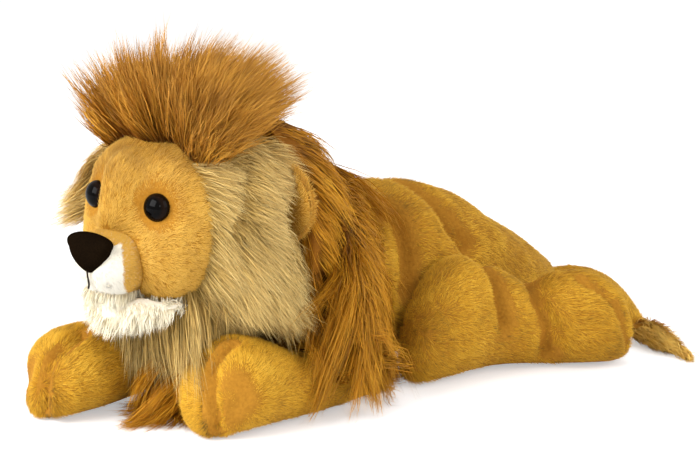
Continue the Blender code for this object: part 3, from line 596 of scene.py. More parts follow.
def combedLocks(form, look):
    # each lock's middle line runs over the form along the comb, and hangs free under its edges
    tree = treeOf(form)
    roots, ways = scatter(form, look["locks"], look["seed"], look["keep"])
    random = np.random.default_rng(look["seed"] + 11)
    steps = look["steps"]
    lengths = look["length"] * random.uniform(look["shortLock"], 1.15, len(roots))
    if "grade" in look:
        lengths = lengths * graded(look, "grade", roots)
    heading = unit(ways * look["lift"] + combed(look, roots) + random.normal(size=roots.shape) * 0.15)
    path = [roots]
    for step in range(steps):
        point = path[-1]
        near, out = closest(tree, point)
        comb = combed(look, point) + driftAround(roots, look["wave"], look["seed"]) * look["stray"]
        hang = np.clip((out[:, 2] + look["free"]) / 0.5, 0, 1)[:, None]
        comb = unit(comb - out * (comb * out).sum(1, keepdims=True) * hang)
        heading = unit(heading * look["stiff"] + comb)
        point = point + heading * lengths[:, None] / steps
        height = ((point - near) * out).sum(1, keepdims=True)
        short = np.clip(look["hover"] * (step + 1) / steps - height, 0, None)
        point = point + out * short * hang
        for under in look["over"]:
            near, out = closest(under, point)
            height = ((point - near) * out).sum(1, keepdims=True)
            lift = np.clip(look["overLift"] - height, 0, None)
            point = point + out * np.where(height > -look["overReach"], lift, 0)
        point[:, 2] = np.maximum(point[:, 2], floorLift + 0.0005)
        path.append(point)
    return np.stack(path, 1)


def longHair(name, form, look, *worn, locks=None):
    # strands grow all over the form, and each bends with the lock nearest its root
    look = dict(hairLook, **look)
    locks = combedLocks(form, look) if locks is None else locks
    steps = locks.shape[1] - 1
    roots, ways = scatter(form, look["strands"], look["seed"] + 1, look["keep"])
    count = len(roots)
    tree = KDTree(len(locks))
    for index, lock in enumerate(locks):
        tree.insert(Vector(lock[0]), index)
    tree.balance()
    member = np.array([tree.find(Vector(root))[1] for root in roots])
    random = np.random.default_rng(look["seed"] + 2)
    share = np.linspace(0, 1, steps + 1)
    reach = share[None] * random.uniform(look["shortest"], 1, (count, 1)) * steps
    low = np.minimum(reach.astype(int), steps - 1)
    part = (reach - low)[..., None]
    rows = np.arange(count)[:, None]
    own = locks[member]
    spine = own[rows, low] * (1 - part) + own[rows, low + 1] * part
    gather = 1 - look["gather"] * share ** look["gatherFrom"]
    start = roots - own[:, 0] - ways * look["sunk"]
    paths = spine + start[:, None] * gather[None, :, None]
    frizz = random.normal(size=(count, 1, 3)) * share[None, :, None] ** 1.4
    bend = random.normal(size=(count, 1, 3)) * np.sin(share * math.pi)[None, :, None]
    paths = paths + (frizz + bend * 0.6) * look["frizz"]
    lockTone = random.normal(size=len(locks))[member]
    tones = look["tone"] + drift(roots, 0.03, look["seed"]) * 0.1 + lockTone * look["lockTone"]
    tones = tones + graded(look, "shade", roots)
    tones = np.clip(tones + random.normal(size=count) * look["mixed"], 0, 1)
    facing = unit(ways + random.normal(size=roots.shape) * 0.5)
    widths = random.uniform(0.7, 1.25, count) * look["width"]
    dress(plant(name, paths, facing, widths, tones, ways, look["soft"]), *worn)


def hairCore(name, node, shrink, voxel=0.003, smooth=4):
    # a softened copy of a hair solid that closes the space under its strands
    bm = bmesh.new()
    bm.from_mesh(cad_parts[node].data)
    bmesh.ops.remove_doubles(bm, verts=bm.verts, dist=0.00002)
    core = linked(name, bm)
    remesh = core.modifiers.new("even", "REMESH")
    remesh.mode, remesh.voxel_size = "VOXEL", voxel
    relax = core.modifiers.new("soft", "SMOOTH")
    relax.iterations = smooth
    settle(core)
    points, outward = readPoints(core)
    points = points - outward * shrink
    points[:, 2] = np.maximum(points[:, 2], 0.0006)
    writePoints(core, points)
    return core


def coreAndHair(word, node, look, worn, finish, *softened):
    # worn holds the core's body, slot and finish, and the hair is put on the same body
    core = hairCore(f"{word}_core", node, *softened)
    dress(core, *worn, node)
    longHair(f"{word}_hair", core, look, *worn[:2], finish)


# Torso
flankCrease = ((20, -6, 82), (30, -7, 73), (41, -13, 60), (46, -18, 43))
torso = {
    "length": 0.236, "front": 0.086, "width": 0.1, "height": 0.0905, "inset": 0.0022, "swell": 0.0016,
    "shares": [(0.0, 0.36, 0.62, 0.12), (0.05, 0.68, 0.76, 0.0), (0.19, 0.82, 0.84, 0.0),
               (0.33, 1.0, 0.88, 0.0), (0.45, 1.03, 1.0, 0.0), (0.545, 0.96, 0.86, 0.0),
               (0.67, 0.88, 0.7, 0.0), (0.8, 0.72, 0.53, 0.0), (0.91, 0.46, 0.34, 0.0),
               (1.0, 0.24, 0.22, 0.0)],
    "moves": [
        (((-46, 28, 56), (-30, 23, 74), (0, 24, 84), (30, 23, 76), (42, 21, 67), (46, 28, 56)),
         0.0056, 0.0074),
        (flankCrease, 0.0048, 0.0064),
        (((36, 5, 70), (43, 4, 62)), 0.01, -0.0022),
        (((10, 52, 66), (30, 50, 58)), 0.016, -0.003),
        (((36, 60, 50), (34, 82, 40)), 0.008, -0.0015),
    ],
    # painted shade: the pile is darker along the back crease and the flank crease
    "seamsAndShade": [(((-46, 28, 56), (0, 24, 84), (30, 23, 76), (46, 28, 56)),
               0.004, 0.36), (flankCrease, 0.0036, 0.36)],
    "pile": {"strands": 126000, "seed": 11, "length": 0.0052, "width": 0.0005,
             "comb": lambda p: (p[0] * 4, 1.0, -0.15 - np.abs(p[0]) * 9),
             "keep": lambda p, w: (p[1] > -0.066) & (w[2] > -0.75)},
}


def makeTorso():
    rings = []
    for along, wide, top, bottom in torso["shares"]:
        high, low = top * torso["height"] - torso["inset"], bottom * torso["height"] - 0.0005
        centre = Vector((0, along * torso["length"] - torso["front"], (high + low) / 2))
        halfWidth = wide * torso["width"] / 2 - torso["inset"]
        rings.append((centre, Vector((0, 1, 0)), halfWidth, (high - low) / 2))
    skin = loft("torso_cloth", rings, 10)
    blowOut(skin, torso["swell"])
    shape(skin, torso["moves"])
    clearOf(skin, [("ball", neck, 0.0645)] + [("inside", side, 0.0477, -0.028, 1) for side in (-1, 1)]
            + [("inside", side, 0.0357, -1, -0.028) for side in (-1, 1)])
    dress(skin, "torso", "short_pile", "shortCloth", "torso_skin", "torso_filling", "torso_pellet_pouch")
    look = dict(torso["pile"], seamsAndShade=torso["seamsAndShade"])
    shortPile("torso_pile", skin, look, "torso", "short_pile", "short")


# Head and face
head = {
    "length": 0.092, "back": 0.031, "width": 0.088, "height": 0.086, "below": 0.03, "inset": 0.0016,
    "swell": 0.0012,
    "shares": [(0.0, 0.38, 0.7, 0.26), (0.13, 0.82, 0.9, 0.1), (0.34, 1.0, 1.0, 0.01),
               (0.6, 1.0, 1.0, 0.0), (0.8, 0.92, 0.92, 0.02), (0.93, 0.7, 0.81, 0.08),
               (1.0, 0.34, 0.62, 0.2)],
    "moves": [
        (((20, -155, 102), (21, -156, 103)), 0.009, 0.0018),
        (((18, -155, 78), (24, -150, 70)), 0.012, -0.0032),
        (((0, -150, 114), (0, -157, 104), (0, -164, 94)), 0.0085, -0.0085),
        (((24, -146, 118), (26, -146, 116)), 0.01, -0.0016),
    ],
    "pile": {"strands": 116000, "seed": 23, "length": 0.0046, "width": 0.00042, "stray": 0.18, "mixed": 0.14,
             "grade": lambda p: -0.26 * np.clip((p[2] - 0.098) / 0.02, 0, 1),
             "comb": lambda p: (p[0], p[1] + 0.188, p[2] - 0.082),
             "keep": lambda p, w: (p[1] < -0.116) & (w[2] > -0.92)},
}
muzzle = {
    "length": 0.034, "width": 0.036, "height": 0.034, "below": 0.02, "reach": 0.078, "inset": 0.0012,
    "shares": [(0.0, 0.6, 0.96, 0.08), (0.34, 0.86, 0.98, 0.0), (0.7, 1.0, 0.98, 0.02),
               (0.92, 0.62, 0.88, 0.16), (1.0, 0.28, 0.72, 0.36)],
    "moves": [(((0, -177, 78), (0, -176, 68), (0, -170, 60)), 0.003, 0.0015),
              (((10, -170, 71), (11, -170, 70)), 0.008, -0.0012)],
    "lip": [(0, -176, 70.5), (4, -174, 68), (8, -170, 66)],
    "dots": [(8, -172, 78), (3, -175, 74), (8, -171, 72)],
    "pile": {"strands": 40000, "seed": 31, "length": 0.0036, "width": 0.0004, "mixed": 0.12,
             "comb": lambda p: (p[0], p[1] + 0.186, (p[2] - 0.088) * 1.3),
             "keep": lambda p, w: whitePatch(p)},
    "bridge": {"strands": 26000, "seed": 37, "length": 0.0034, "width": 0.0004,
               "comb": lambda p: (p[0], p[1] + 0.19, p[2] - 0.08),
               "keep": lambda p, w: ~whitePatch(p)},
}


def whitePatch(p):
    # the white cloth reaches up beside the nose and ends on a slanted line on each side
    across = np.abs(p[0])
    low = p[2] < 0.0905 - np.clip(0.016 - across, 0, 1) * 0.6
    edge = 0.1003 + np.sign(p[0]) * 0.0032 - (0.0885 - p[2]) * 0.05
    return low & (-0.669 * p[1] - 0.743 * across > edge)


def makeHead():
    inset = head["inset"]
    skin = loft("head_cloth", ahead(head, neck.y + head["back"] - inset, head["length"] - 2 * inset), 10)
    blowOut(skin, head["swell"])
    shape(skin, onBothSides(head["moves"]))
    dress(skin, "head", "short_pile", "shortCloth", "head_skin", "head_filling")
    snout = loft("muzzle_cloth", ahead(muzzle, neck.y - muzzle["reach"] + muzzle["length"],
                                       muzzle["length"] - muzzle["inset"]), 8)
    shape(snout, onBothSides(muzzle["moves"]))
    dress(snout, "head", "white_pile", "whiteCloth", "muzzle")
    return skin, snout


eyes = {"width": 0.0124, "spacing": 0.038, "above": 0.022, "sunk": 0.0022}
nose = {"width": 0.0265, "height": 0.0192, "depth": 0.0115, "above": 0.005, "sunk": 0.0036}


def makeEyes(skin):
    # a dome on each side whose edge sits in the pile
    places = []
    tree = treeOf(skin)
    for side, word in bothSides:
        seat, normal = fromFront(tree, side * eyes["spacing"] / 2, neck.z + eyes["above"])
        outward = (normal + Vector((0, -1, 0))).normalized()
        turn = up.rotation_difference(outward).to_matrix().to_4x4()
        centre = seat - outward * (eyes["sunk"] / 2 - 0.0012)
        bm = ball(40, 24)
        bmesh.ops.transform(bm, matrix=Matrix.Diagonal((0.5, 0.5, 0.38)).to_4x4(), verts=bm.verts)
        bmesh.ops.transform(bm, matrix=Matrix.Translation(centre) @ turn @ Matrix.Scale(eyes["width"], 4),
                            verts=bm.verts)
        piece = linked(f"eye_dome_{word}", bm)
        points, _ = readPoints(piece)
        away = points - np.array(centre)
        along = away @ np.array(outward)
        rim = np.linalg.norm(away - along[:, None] * np.array(outward), axis=1) / (eyes["width"] / 2)
        layer = piece.data.attributes.new("rim", "FLOAT", "POINT")
        layer.data.foreach_set("value", rim)
        dress(piece, "head", "eye", "eye", f"eye_{word}")
        places.append(tuple(centre))
    return places


def makeNose(snout):
    # a soft triangle with a round top edge
    seat = fromFront(treeOf(snout), 0, neck.z + nose["above"])[0]
    bm = ball(48, 28)
    for vert in bm.verts:
        across, deep, high = vert.co
        full = 1 - 0.2 * (abs(across) * abs(high) + abs(across) * abs(deep))
        level = high * (0.72 if high > 0 else 1.12)
        vert.co = Vector((across * (0.8 + 0.34 * high) / full, deep / full, level))
    size = Matrix.Diagonal((nose["width"] / 2, nose["depth"] / 2, nose["height"] / 2)).to_4x4()
    centre = seat + Vector((0, nose["sunk"] / 2 - 0.0008, 0))
    bmesh.ops.transform(bm, matrix=Matrix.Translation(centre) @ size, verts=bm.verts)
    piece = linked("nose_pad", bm)
    dress(piece, "head", "nose", "nose", "nose")
    return centre


def makeMouth(snout):
    # the stitch under the nose, a tube laid on the pile's roots
    tree = treeOf(snout)
    top = neck.z + nose["above"] - nose["height"] / 2
    curve = bpy.data.curves.new("mouth", "CURVE")
    curve.dimensions = "3D"
    curve.bevel_depth, curve.bevel_resolution, curve.use_fill_caps = 0.00042, 3, True
    line = curve.splines.new("POLY")
    count = 14
    line.points.add(count)
    for index in range(count + 1):
        share = index / count
        place, normal = fromFront(tree, -0.0022 * max(share - 0.65, 0) / 0.35, top + 0.001 - 0.0085 * share)
        line.points[index].co = (*(place + normal * 0.0016), 1)
    drawn = newObject("mouth_thread", curve)
    mesh = meshOf(drawn)
    bpy.data.objects.remove(drawn)
    dress(linkedMesh("mouth_thread", mesh), "head", "thread", "thread", "mouth_stitch")


def makeFacePile(skin, snout, eyePlaces, nosePlace):
    bare = [(place, eyes["width"] / 2) for place in eyePlaces]
    noseBare = [(tuple(nosePlace + Vector((x, 0, z))), radius) for x, z, radius in
                ((-0.0065, 0.003, 0.0058), (0.0065, 0.003, 0.0058), (0, 0, 0.0062), (0, -0.004, 0.0045))]
    middle = (0, neck.y - muzzle["reach"] + 0.012, neck.z - 0.002)

    def bareOf(tree, keep, depth, nearNose=1.0):
        # no strand grows under the eyes, the nose or the other cloth
        def test(p, w):
            good = keep(p, w)
            for centre, radius in bare + noseBare:
                good &= farFrom(centre, p) > radius * nearNose
            close = np.nonzero(good & (farFrom(middle, p) < 0.032))[0]
            points = p.T[close]
            near, out = closest(tree, points)
            good[close] = ((points - near) * out).sum(1) > depth
            return good
        return test

    pile = dict(head["pile"], bare=bare, keep=bareOf(treeOf(snout), head["pile"]["keep"], -0.001))
    shortPile("face_pile", skin, pile, "head", "short_pile", "face")
    dots = [((np.array(place) * (side, 1, 1), np.array(place) * (side, 1, 1.0001)), 0.0011, 1.4)
            for place in muzzle["dots"] for side in (-1, 1)]
    dots += [(np.array(muzzle["lip"]) * (side, 1, 1), 0.0008, 0.75) for side in (-1, 1)]
    white = dict(muzzle["pile"], bare=noseBare, seamsAndShade=dots,
                 keep=bareOf(treeOf(skin), muzzle["pile"]["keep"], -0.0005))
    shortPile("muzzle_pile", snout, white, "head", "white_pile", "white")
    bridge = dict(muzzle["bridge"], keep=bareOf(treeOf(skin), muzzle["bridge"]["keep"], -0.0005, 0.5))
    shortPile("bridge_pile", snout, bridge, "head", "short_pile", "face")


# Ears
ears = {"width": 0.031, "height": 0.031, "thickness": 0.0036, "x": 0.0431, "above": 0.019, "cup": 0.004,
        "pile": {"strands": 14000, "length": 0.0046, "width": 0.00044}}


def makeEars():
    for side, word in bothSides:
        centre = neck + Vector((side * ears["x"], 0, ears["above"]))
        bm = ball(32, 20)
        for vert in bm.verts:
            spread = vert.co.x ** 2 + vert.co.z ** 2
            vert.co.y = vert.co.y * (1 - 0.25 * (1 - spread)) * ears["thickness"] / 2
            vert.co.y += ears["cup"] * (0.3 - 0.3 * spread)
            vert.co.x *= ears["width"] / 2
            vert.co.z *= ears["height"] / 2
        bmesh.ops.translate(bm, verts=bm.verts, vec=centre)
        flap = linked(f"ear_cloth_{word}", bm)
        dress(flap, "head", "short_pile", "shortCloth", f"ear_{word}")
        look = dict(ears["pile"], seed=41 if side > 0 else 43,
                    comb=lambda p: (p[0] - centre.x, 0, p[2] - centre.z + 0.003))
        shortPile(f"ear_pile_{word}", flap, look, "head", "short_pile", "face")


# Limbs
def makeLimb(name, leg, moves, seat):
    # a limb from its seam to its toes, kept outside the torso's flat seat
    side, inset, stations = leg["side"], leg["inset"], []
    for along, out, wide, high in leg["shares"]:
        halfHeight = high * leg["height"] / 2
        centre = Vector((side * (leg["hip"] + out * leg["splay"]), leg["start"] + along * leg["length"],
                         halfHeight - 0.0005))
        stations.append((centre, wide * leg["width"] / 2 - inset, halfHeight - inset / 2))
    skin = loft(name, follow(stations), 8)
    blowOut(skin, leg["swell"])
    shape(skin, moves)
    clearOf(skin, [("outside", side, *seat)])
    return skin


def dressLimb(skin, limb, word, look):
    body = f"{limb}_{word}"
    dress(skin, body, "short_pile", "shortCloth", f"{body}_skin", f"{body}_filling", f"{body}_pellet_pouch")
    shortPile(f"{limb}_pile_{word}", skin, look, body, "short_pile", "short")
    return treeOf(skin)


forelegs = {
    "width": 0.048, "height": 0.045, "inset": 0.0018, "swell": 0.0013,
    "left": {"side": 1, "length": -0.113, "start": -0.035, "hip": 0.0475, "splay": 0.012,
             "shares": [(0.0, 0.0, 0.28, 0.34), (0.06, 0.0, 0.5, 0.6), (0.19, 0.06, 0.57, 0.66),
                        (0.36, 0.08, 0.56, 0.63), (0.52, -0.12, 0.62, 0.66), (0.65, -0.52, 0.88, 0.88),
                        (0.81, -0.86, 1.06, 1.04), (0.94, -0.92, 0.88, 0.92), (1.0, -0.92, 0.46, 0.52)],
             "seamsAndShade": [((44, -132, 44), (42, -142, 35), (44, -146, 25), (46, -147, 14), (47, -144, 4))],
             "tip": (0.056, -0.146, 0.018),
             "dents": [((55, -141, 27), (58, -139, 21), (54, -142, 13))]},
    "right": {"side": -1, "length": -0.134, "start": -0.044, "hip": 0.049, "splay": 0.021,
              "shares": [(0.0, 0.0, 0.28, 0.34), (0.06, 0.0, 0.5, 0.6), (0.19, -0.14, 0.57, 0.66),
                         (0.36, -0.46, 0.57, 0.64), (0.54, -0.72, 0.64, 0.67), (0.72, -0.76, 1.02, 0.92),
                         (0.86, -0.7, 1.08, 0.92), (0.96, -0.62, 0.8, 0.76), (1.0, -0.6, 0.38, 0.42)],
              "seamsAndShade": [((-27, -155, 40), (-27, -167, 35), (-30, -174, 28), (-30, -177, 18), (-31, -176, 5))],
              "tip": (-0.03, -0.178, 0.018),
              "dents": [((-46, -178, 22), (-52, -176, 16))]},
    "pile": {"strands": 84000, "length": 0.0046, "width": 0.00046, "tone": 0.6},
}


def makeForeleg(word):
    leg = dict(forelegs, **forelegs[word])
    side, tip = leg["side"], leg["tip"]
    moves = [(line, 0.0026, 0.005) for line in leg["seamsAndShade"]] + [(line, 0.007, 0.003) for line in leg["dents"]]
    skin = makeLimb(f"foreleg_cloth_{word}", leg, moves, (0.037, -0.0867, 1))
    # painted shade darkens the pile in the dents; along the seams it is darker both as the seam's own line
    # and as painted shade in the groove
    seamsAndShade = [(line, 0.0019, 1.0) for line in leg["seamsAndShade"]] + [(line, 0.007, 0.26) for line in leg["dents"]]
    look = dict(leg["pile"], seed=51 if side > 0 else 57, seamsAndShade=seamsAndShade,
                comb=lambda p: (p[0] - tip[0], p[1] - tip[1], p[2] - tip[2]),
                keep=lambda p, w: (p[1] < -0.06) & (w[2] > -0.8))
    return dressLimb(skin, "foreleg", word, look)


# Hind legs
hindLegs = {
    "width": 0.052, "height": 0.055, "splay": 0.06, "start": -0.031, "length": 0.031 + 0.074, "hip": 0.048,
    "inset": 0.0018, "swell": 0.0013,
    "shares": [(0.0, 0.1, 0.3, 0.4), (0.08, 0.13, 0.66, 0.78), (0.26, 0.15, 0.92, 1.1),
               (0.46, 0.19, 0.96, 1.06), (0.6, 0.36, 0.64, 0.72), (0.76, 0.66, 0.84, 0.92),
               (0.92, 0.9, 0.8, 0.82), (1.0, 1.0, 0.42, 0.48)],
    "creases": [((52, 24, 56), (64, 13, 54), (74, 13, 48), (80, 10, 39), (82, 11, 27)),
                ((70, 40, 46), (86, 29, 36), (94, 29, 23), (91, 31, 6))],
    "lumps": [((75, 24, 46), (86, 21, 30)), ((78, -12, 40), (79, -10, 22))],
    "seamsAndShade": [((96, 46, 47), (104, 50, 42), (112, 56, 35), (116, 59, 23), (115, 66, 9))],
    "pile": {"strands": 77000, "length": 0.005, "width": 0.00048},
}


def makeHindLeg(side, word):
    creases, lumps, seamsAndShade = ([np.array(line) * (side, 1, 1) for line in hindLegs[kind]]
                             for kind in ("creases", "lumps", "seamsAndShade"))
    moves = ([(line, 0.0046, 0.0064) for line in creases] + [(line, 0.01, -0.0018) for line in lumps]
             + [(line, 0.003, 0.003) for line in seamsAndShade])
    skin = makeLimb(f"hind_leg_cloth_{word}", dict(hindLegs, side=side), moves, (0.049, -1, 1))
    # painted shade darkens the pile in the creases; along the seams it is darker both as the seam's own line
    # and as painted shade in the groove
    look = dict(hindLegs["pile"], seed=61 if side > 0 else 67,
                comb=lambda p: (side * np.clip(p[1] * 14, 0, 0.8), 1.0, -0.25 - p[2] * 2),
                seamsAndShade=[(line, 0.0036, 0.42) for line in creases] + [(line, 0.0014, 0.9) for line in seamsAndShade],
                keep=lambda p, w: (w[2] > -0.8) & ((side * p[0] > 0.052) | (p[2] > 0.02)))
    dressLimb(skin, "hind_leg", word, look)


# Tail
tail = {
    "diameter": 0.014, "back": 0.151, "spanX": 0.092, "spanY": 0.034,
    "shares": [(0.0, -0.2, 0.8), (0.05, 0.14, 1.0), (0.17, 0.36, 1.02), (0.36, 0.18, 1.02),
               (0.62, -0.4, 1.0), (0.84, -0.98, 0.96), (1.0, -1.34, 0.8)],
    "pile": {"strands": 26000, "seed": 71, "length": 0.0048, "width": 0.00044},
    "tuft": {"strands": 5200, "locks": 70, "seed": 73, "length": 0.013, "width": 0.0005, "steps": 4,
             "tone": 0.8, "soft": 0.75, "lift": 0.15, "stray": 0.18, "stiff": 0.9, "hover": 0.0015,
             "gather": 0.55, "frizz": 0.0014},
}


def makeTail():
    root = Vector((0, tail["back"], tail["diameter"] / 2 - 0.0005))
    stations = []
    for across, back, full in tail["shares"]:
        radius = full * tail["diameter"] / 2
        centre = root + Vector((across * tail["spanX"], back * tail["spanY"], 0))
        centre.z = radius - 0.0005
        stations.append((centre, radius - 0.0008, radius - 0.0005))
    skin = loft("tail_cloth", follow(stations), 8)
    clearOf(skin, [])
    dress(skin, "tail", "short_pile", "shortCloth", "tail_skin", "tail_filling")
    line = np.array([tuple(centre) for centre, _, _ in stations])
    runs = unit(np.gradient(line, axis=0))

    def alongTail(p):
        return -runs[np.linalg.norm(p.T[:, None] - line, axis=2).argmin(1)].T

    shortPile("tail_pile", skin, dict(tail["pile"], comb=alongTail), "tail", "short_pile", "short")
    tip = runs[-1] + np.array((0.35, 0.1, -0.02))
    look = dict(tail["tuft"], comb=lambda p: (p[0] * 0 + tip[0], tip[1], tip[2]))
    coreAndHair("tuft", "tail_tuft", look, ("tail", "mane_pile", "shortCloth"), "face", 0.002, 0.002)


# Hair round the head
earMiddle = (0.05, -0.101, 0.099)
ruff = {
    "strands": 22000, "locks": 1000, "seed": 81, "length": 0.022, "width": 0.00034, "steps": 3, "lift": 0.42,
    "stray": 0.16, "stiff": 0.55, "hover": 0.004, "gather": 0.18, "lockTone": 0.08, "mixed": 0.22,
    "tone": 0.48, "free": 0.12,
    "shade": lambda p: -0.14 * np.clip((0.085 - p[2]) / 0.03, 0, 1),
    "comb": lambda p: (p[0] * 0.8, 0.03, (p[2] - 0.135) * 0.7 - 0.012),
}
ruffEdge = {"strands": 8500, "locks": 380, "length": 0.024, "lift": 0.7, "hover": 0.005}
farRuff = {"strands": 7000, "locks": 240, "length": 0.03, "lift": 0.8, "hover": 0.006, "tone": 0.6,
           "comb": lambda p: (p[0] * 20, -0.22, (p[2] - 0.11) * 18),
           "keep": lambda p, w: (p[1] > -0.14) & (p[1] < -0.112) & (p[0] < -0.027) & (p[2] > 0.09)
           & (p[2] < 0.146)}
bib = {
    "strands": 11000, "locks": 240, "seed": 87, "length": 0.046, "width": 0.00044, "steps": 3, "lift": 0.25,
    "stray": 0.16, "stiff": 0.7, "hover": 0.001, "gather": 0.45, "frizz": 0.0018, "lockTone": 0.12,
    "tone": 0.32, "mixed": 0.18,
    "comb": lambda p: (p[0] * 2.5 + 0.1, -0.1, -1.0),
    "keep": lambda p, w: (p[1] < -0.1) & (p[1] > -0.143) & (p[2] < 0.066) & (w[2] < -0.2),
}
beard = {
    "strands": 9000, "locks": 170, "seed": 91, "length": 0.0088, "width": 0.00042, "steps": 3, "lift": 0.3,
    "stray": 0.22, "stiff": 0.5, "hover": 0.0012, "gather": 0.45, "frizz": 0.0009,
    "comb": lambda p: (p[0] * 12, -0.4, -1.0),
    "rim": lambda p, w: (p[1] < -0.128) & (w[2] < 0.1) & (p[2] > 0.053) & (p[2] < 0.063),
    "chin": lambda p, w: (w[2] < -0.25) & (p[2] < 0.066),
}
nape = {
    "strands": 9500, "locks": 320, "seed": 101, "length": 0.036, "width": 0.00046, "steps": 4, "lift": 0.2,
    "stray": 0.16, "stiff": 0.8, "hover": 0.003, "gather": 0.55, "tone": 0.54,
    "comb": lambda p: (p[0] * 7, 0.75, -0.35 - np.abs(p[0]) * 12),
    "keep": lambda p, w: farFrom(neck, p) > 0.048,
}
mane = {
    "strands": 19000, "locks": 740, "length": 0.05, "width": 0.00042, "steps": 4, "lift": 0.28, "stray": 0.17,
    "stiff": 0.8, "hover": 0.0035, "gather": 0.38, "frizz": 0.0024, "mixed": 0.17, "soft": 0.55,
    "lockTone": 0.1, "front": -0.086, "sideCut": 0.26,
    "keep": lambda p, w: (np.abs(p[0]) > 0.004) & (w[1] > -0.75) & (w[2] > -0.6) & (farFrom(neck, p) > 0.059),
    # shorter towards the back and the sides
    "grade": lambda p: np.clip(
        1 - (0.669 * p[1] + 0.743 * (np.abs(p[0]) + 0.007) + 0.5 * p[2] - 0.0375) / 0.009, 0.3, 1),
}
fringe = {"strands": 9500, "locks": 420, "length": 0.056, "width": 0.00046, "lift": 0.22, "stray": 0.12,
          "frizz": 0.0016, "wave": 0.02, "tone": 0.44}
chest = {
    "strands": 9000, "locks": 170, "seed": 121, "length": 0.038, "width": 0.00048, "steps": 4, "lift": 0.3,
    "stray": 0.25, "stiff": 0.7, "hover": 0.002, "gather": 0.62, "frizz": 0.0018,
    "comb": lambda p: (p[0] * 40 - 0.25, -1.2, -0.7),
}
crest = {
    "strands": 20500, "locks": 400, "seed": 131, "width": 0.00048, "steps": 5, "gather": 0.7,
    "gatherFrom": 1.1, "frizz": 0.0024, "shortest": 0.4, "lockTone": 0.1, "tone": 0.48,
    "heart": (0.0, -0.112, 0.088), "middle": (-0.006, -0.126, 0.115), "swell": (0.052, 0.08, 0.063),
    "least": 0.72, "longest": 1.1, "sweep": (0.004, 0.02, -0.004), "top": 0.179,
    "coreSize": (0.74, 0.66, 0.66), "coreShift": (0, 0.006, 0.004),
    "keep": lambda p, w: (p[1] > -0.1535) & (p[1] < -0.066) & (np.abs(p[0]) < 0.037)
    & (p[2] > 0.1265 + np.clip(np.abs(p[0]) - 0.015, 0, 1) * (np.clip(p[1] + 0.132, 0, 1) * 15 - 0.6)),
}


def makeRuffs(skin):
    for side, word in bothSides:
        core = hairCore(f"ruff_core_{word}", f"ruff_{word}", 0.003)
        dress(core, "head", "ruff_pile", "ruffCloth", f"ruff_{word}")
        ear = np.array(earMiddle) * (side, 1, 1)
        look = dict(ruff, seed=ruff["seed"] + side, grade=lambda p: np.clip(farFrom(ear, p) / 0.026, 0.55, 1),
                    keep=lambda p, w: (p[1] < -0.103) & (farFrom(ear, p) > 0.0115)
                    & (farFrom(neck, p) > 0.046))
        longHair(f"ruff_hair_{word}", core, look, "head", "ruff_pile", "ruff")
        edge = dict(look, **ruffEdge, keep=lambda p, w: (p[1] > -0.1395)
                    & (p[1] < -0.127 + np.clip(p[2] - 0.112, 0, 0.018) * 2.2)
                    & (side * p[0] > 0.024) & (p[2] > 0.05) & (p[2] < 0.136))
        longHair(f"ruff_edge_{word}", skin, edge, "head", "ruff_pile", "ruff")
    longHair("ruff_far_hair", skin, dict(ruff, **farRuff), "head", "ruff_pile", "ruff")
    longHair("bib_hair", skin, bib, "head", "ruff_pile", "ruff")


def makeBeard(skin, snout):
    coreAndHair("beard", "beard", beard, ("head", "cream_pile", "whiteCloth"), "cream", 0.0025, 0.002)
    for word, form, seed in (("rim", skin, 93), ("chin", snout, 95)):
        look = dict(beard, strands=2200, locks=50, seed=seed, keep=beard[word])
        longHair(f"beard_{word}_hair", form, look, "head", "cream_pile", "cream")


def makeManes(legTrees):
    coreAndHair("nape", "nape_mane", nape, ("head", "mane_pile", "maneCloth"), "mane", 0.003)
    for side, word in bothSides:
        core = hairCore(f"mane_core_{word}", f"mane_{word}", 0.003)
        points, _ = readPoints(core)
        share = 1 - mane["sideCut"] * np.clip((np.abs(points[:, 0]) - 0.022) / 0.025, 0, 1)
        points[:, 1] = mane["front"] + (points[:, 1] - mane["front"]) * share
        writePoints(core, points)
        dress(core, "torso", "mane_pile", "maneCloth", f"mane_{word}")
        look = dict(mane, seed=111 + side, comb=lambda p: (
            side * np.clip(0.55 - np.abs(p[0]) * 7, 0.04, 1), np.clip(p[2] * 4, 0.1, 0.28),
            -0.3 - np.abs(p[0]) * 12))
        longHair(f"mane_hair_{word}", core, look, "torso", "mane_pile", "mane")
        low = dict(look, **fringe, over=legTrees, comb=lambda p: (
            side * 0.16, -0.08 - 0.95 * np.clip((-0.056 - p[1]) / 0.022, 0, 1), -1.0),
            keep=lambda p, w: (side * p[0] > 0.026) & (p[2] < 0.084) & (w[2] > -0.85)
            & ((side * w[0] > 0.2) | (w[1] < -0.4)))
        longHair(f"mane_fringe_{word}", core, low, "torso", "mane_pile", "mane")
    coreAndHair("chest", "chest_mane", chest, ("torso", "mane_pile", "maneCloth"), "mane", 0.0015, 0.002)


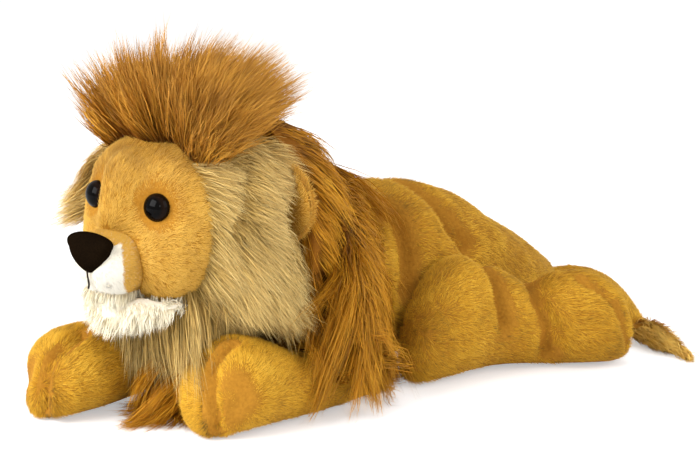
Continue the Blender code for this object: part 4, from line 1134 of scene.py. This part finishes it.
def makeCrest(skin):
    # locks fan out from the cap of the head to a swelling outline over it
    roots, _ = scatter(skin, crest["locks"], crest["seed"], crest["keep"])
    random = np.random.default_rng(crest["seed"] + 3)
    heading = unit(roots - np.array(crest["heart"]) + random.normal(size=roots.shape) * 0.003)
    swell = np.array(crest["swell"])
    place, way = (roots - np.array(crest["middle"])) / swell, heading / swell
    square, half = (way ** 2).sum(1), (place * way).sum(1)
    reach = (np.sqrt(half ** 2 - square * ((place ** 2).sum(1) - 1)) - half) / square
    tips = roots + heading * (reach * random.uniform(crest["least"], crest["longest"], len(roots)))[:, None]
    tips[:, 2] = np.minimum(tips[:, 2], crest["top"] - random.uniform(0, 0.014, len(tips)))
    share = np.linspace(0, 1, crest["steps"] + 1)[None, :, None]
    backward = np.clip((roots[:, 1] + 0.145) / 0.05, 0.1, 1)[:, None, None]
    locks = roots[:, None] + (tips - roots)[:, None] * share
    locks = locks + np.array(crest["sweep"]) * backward * share ** 2
    core = hairCore("crest_core", "crest", 0.0)
    points, _ = readPoints(core)
    middle = np.array(crest["middle"])
    writePoints(core, middle + (points - middle) * np.array(crest["coreSize"]) + np.array(crest["coreShift"]))
    dress(core, "head", "mane_pile", "maneCloth", "crest")
    longHair("crest_hair", skin, crest, "head", "mane_pile", "crest", locks=locks)


# Neck pad and the washers behind the eyes and nose
def makeHidden():
    pad = hairCore("neck_pad_cloth", "neck_pad", 0.0, 0.0012, 2)
    dress(pad, "neck", "filling", "shortCloth", "neck_pad")
    for node in ("eye_washer_left", "eye_washer_right", "nose_washer"):
        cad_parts[node].data.materials.clear()
        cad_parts[node].data.materials.append(finishes["washer"])


makeStudio()
makeTorso()
headSkin, snoutSkin = makeHead()
eyePlaces = makeEyes(headSkin)
nosePlace = makeNose(snoutSkin)
makeMouth(snoutSkin)
makeFacePile(headSkin, snoutSkin, eyePlaces, nosePlace)
makeEars()
print("head made")
legTrees = [makeForeleg(word) for word in ("left", "right")]
for side, word in bothSides:
    makeHindLeg(side, word)
makeTail()
print("legs and tail made")
makeRuffs(headSkin)
makeBeard(headSkin, snoutSkin)
makeManes(legTrees)
makeCrest(headSkin)
makeHidden()
print("hair made")

bpy.context.scene.view_settings.view_transform = "Standard"
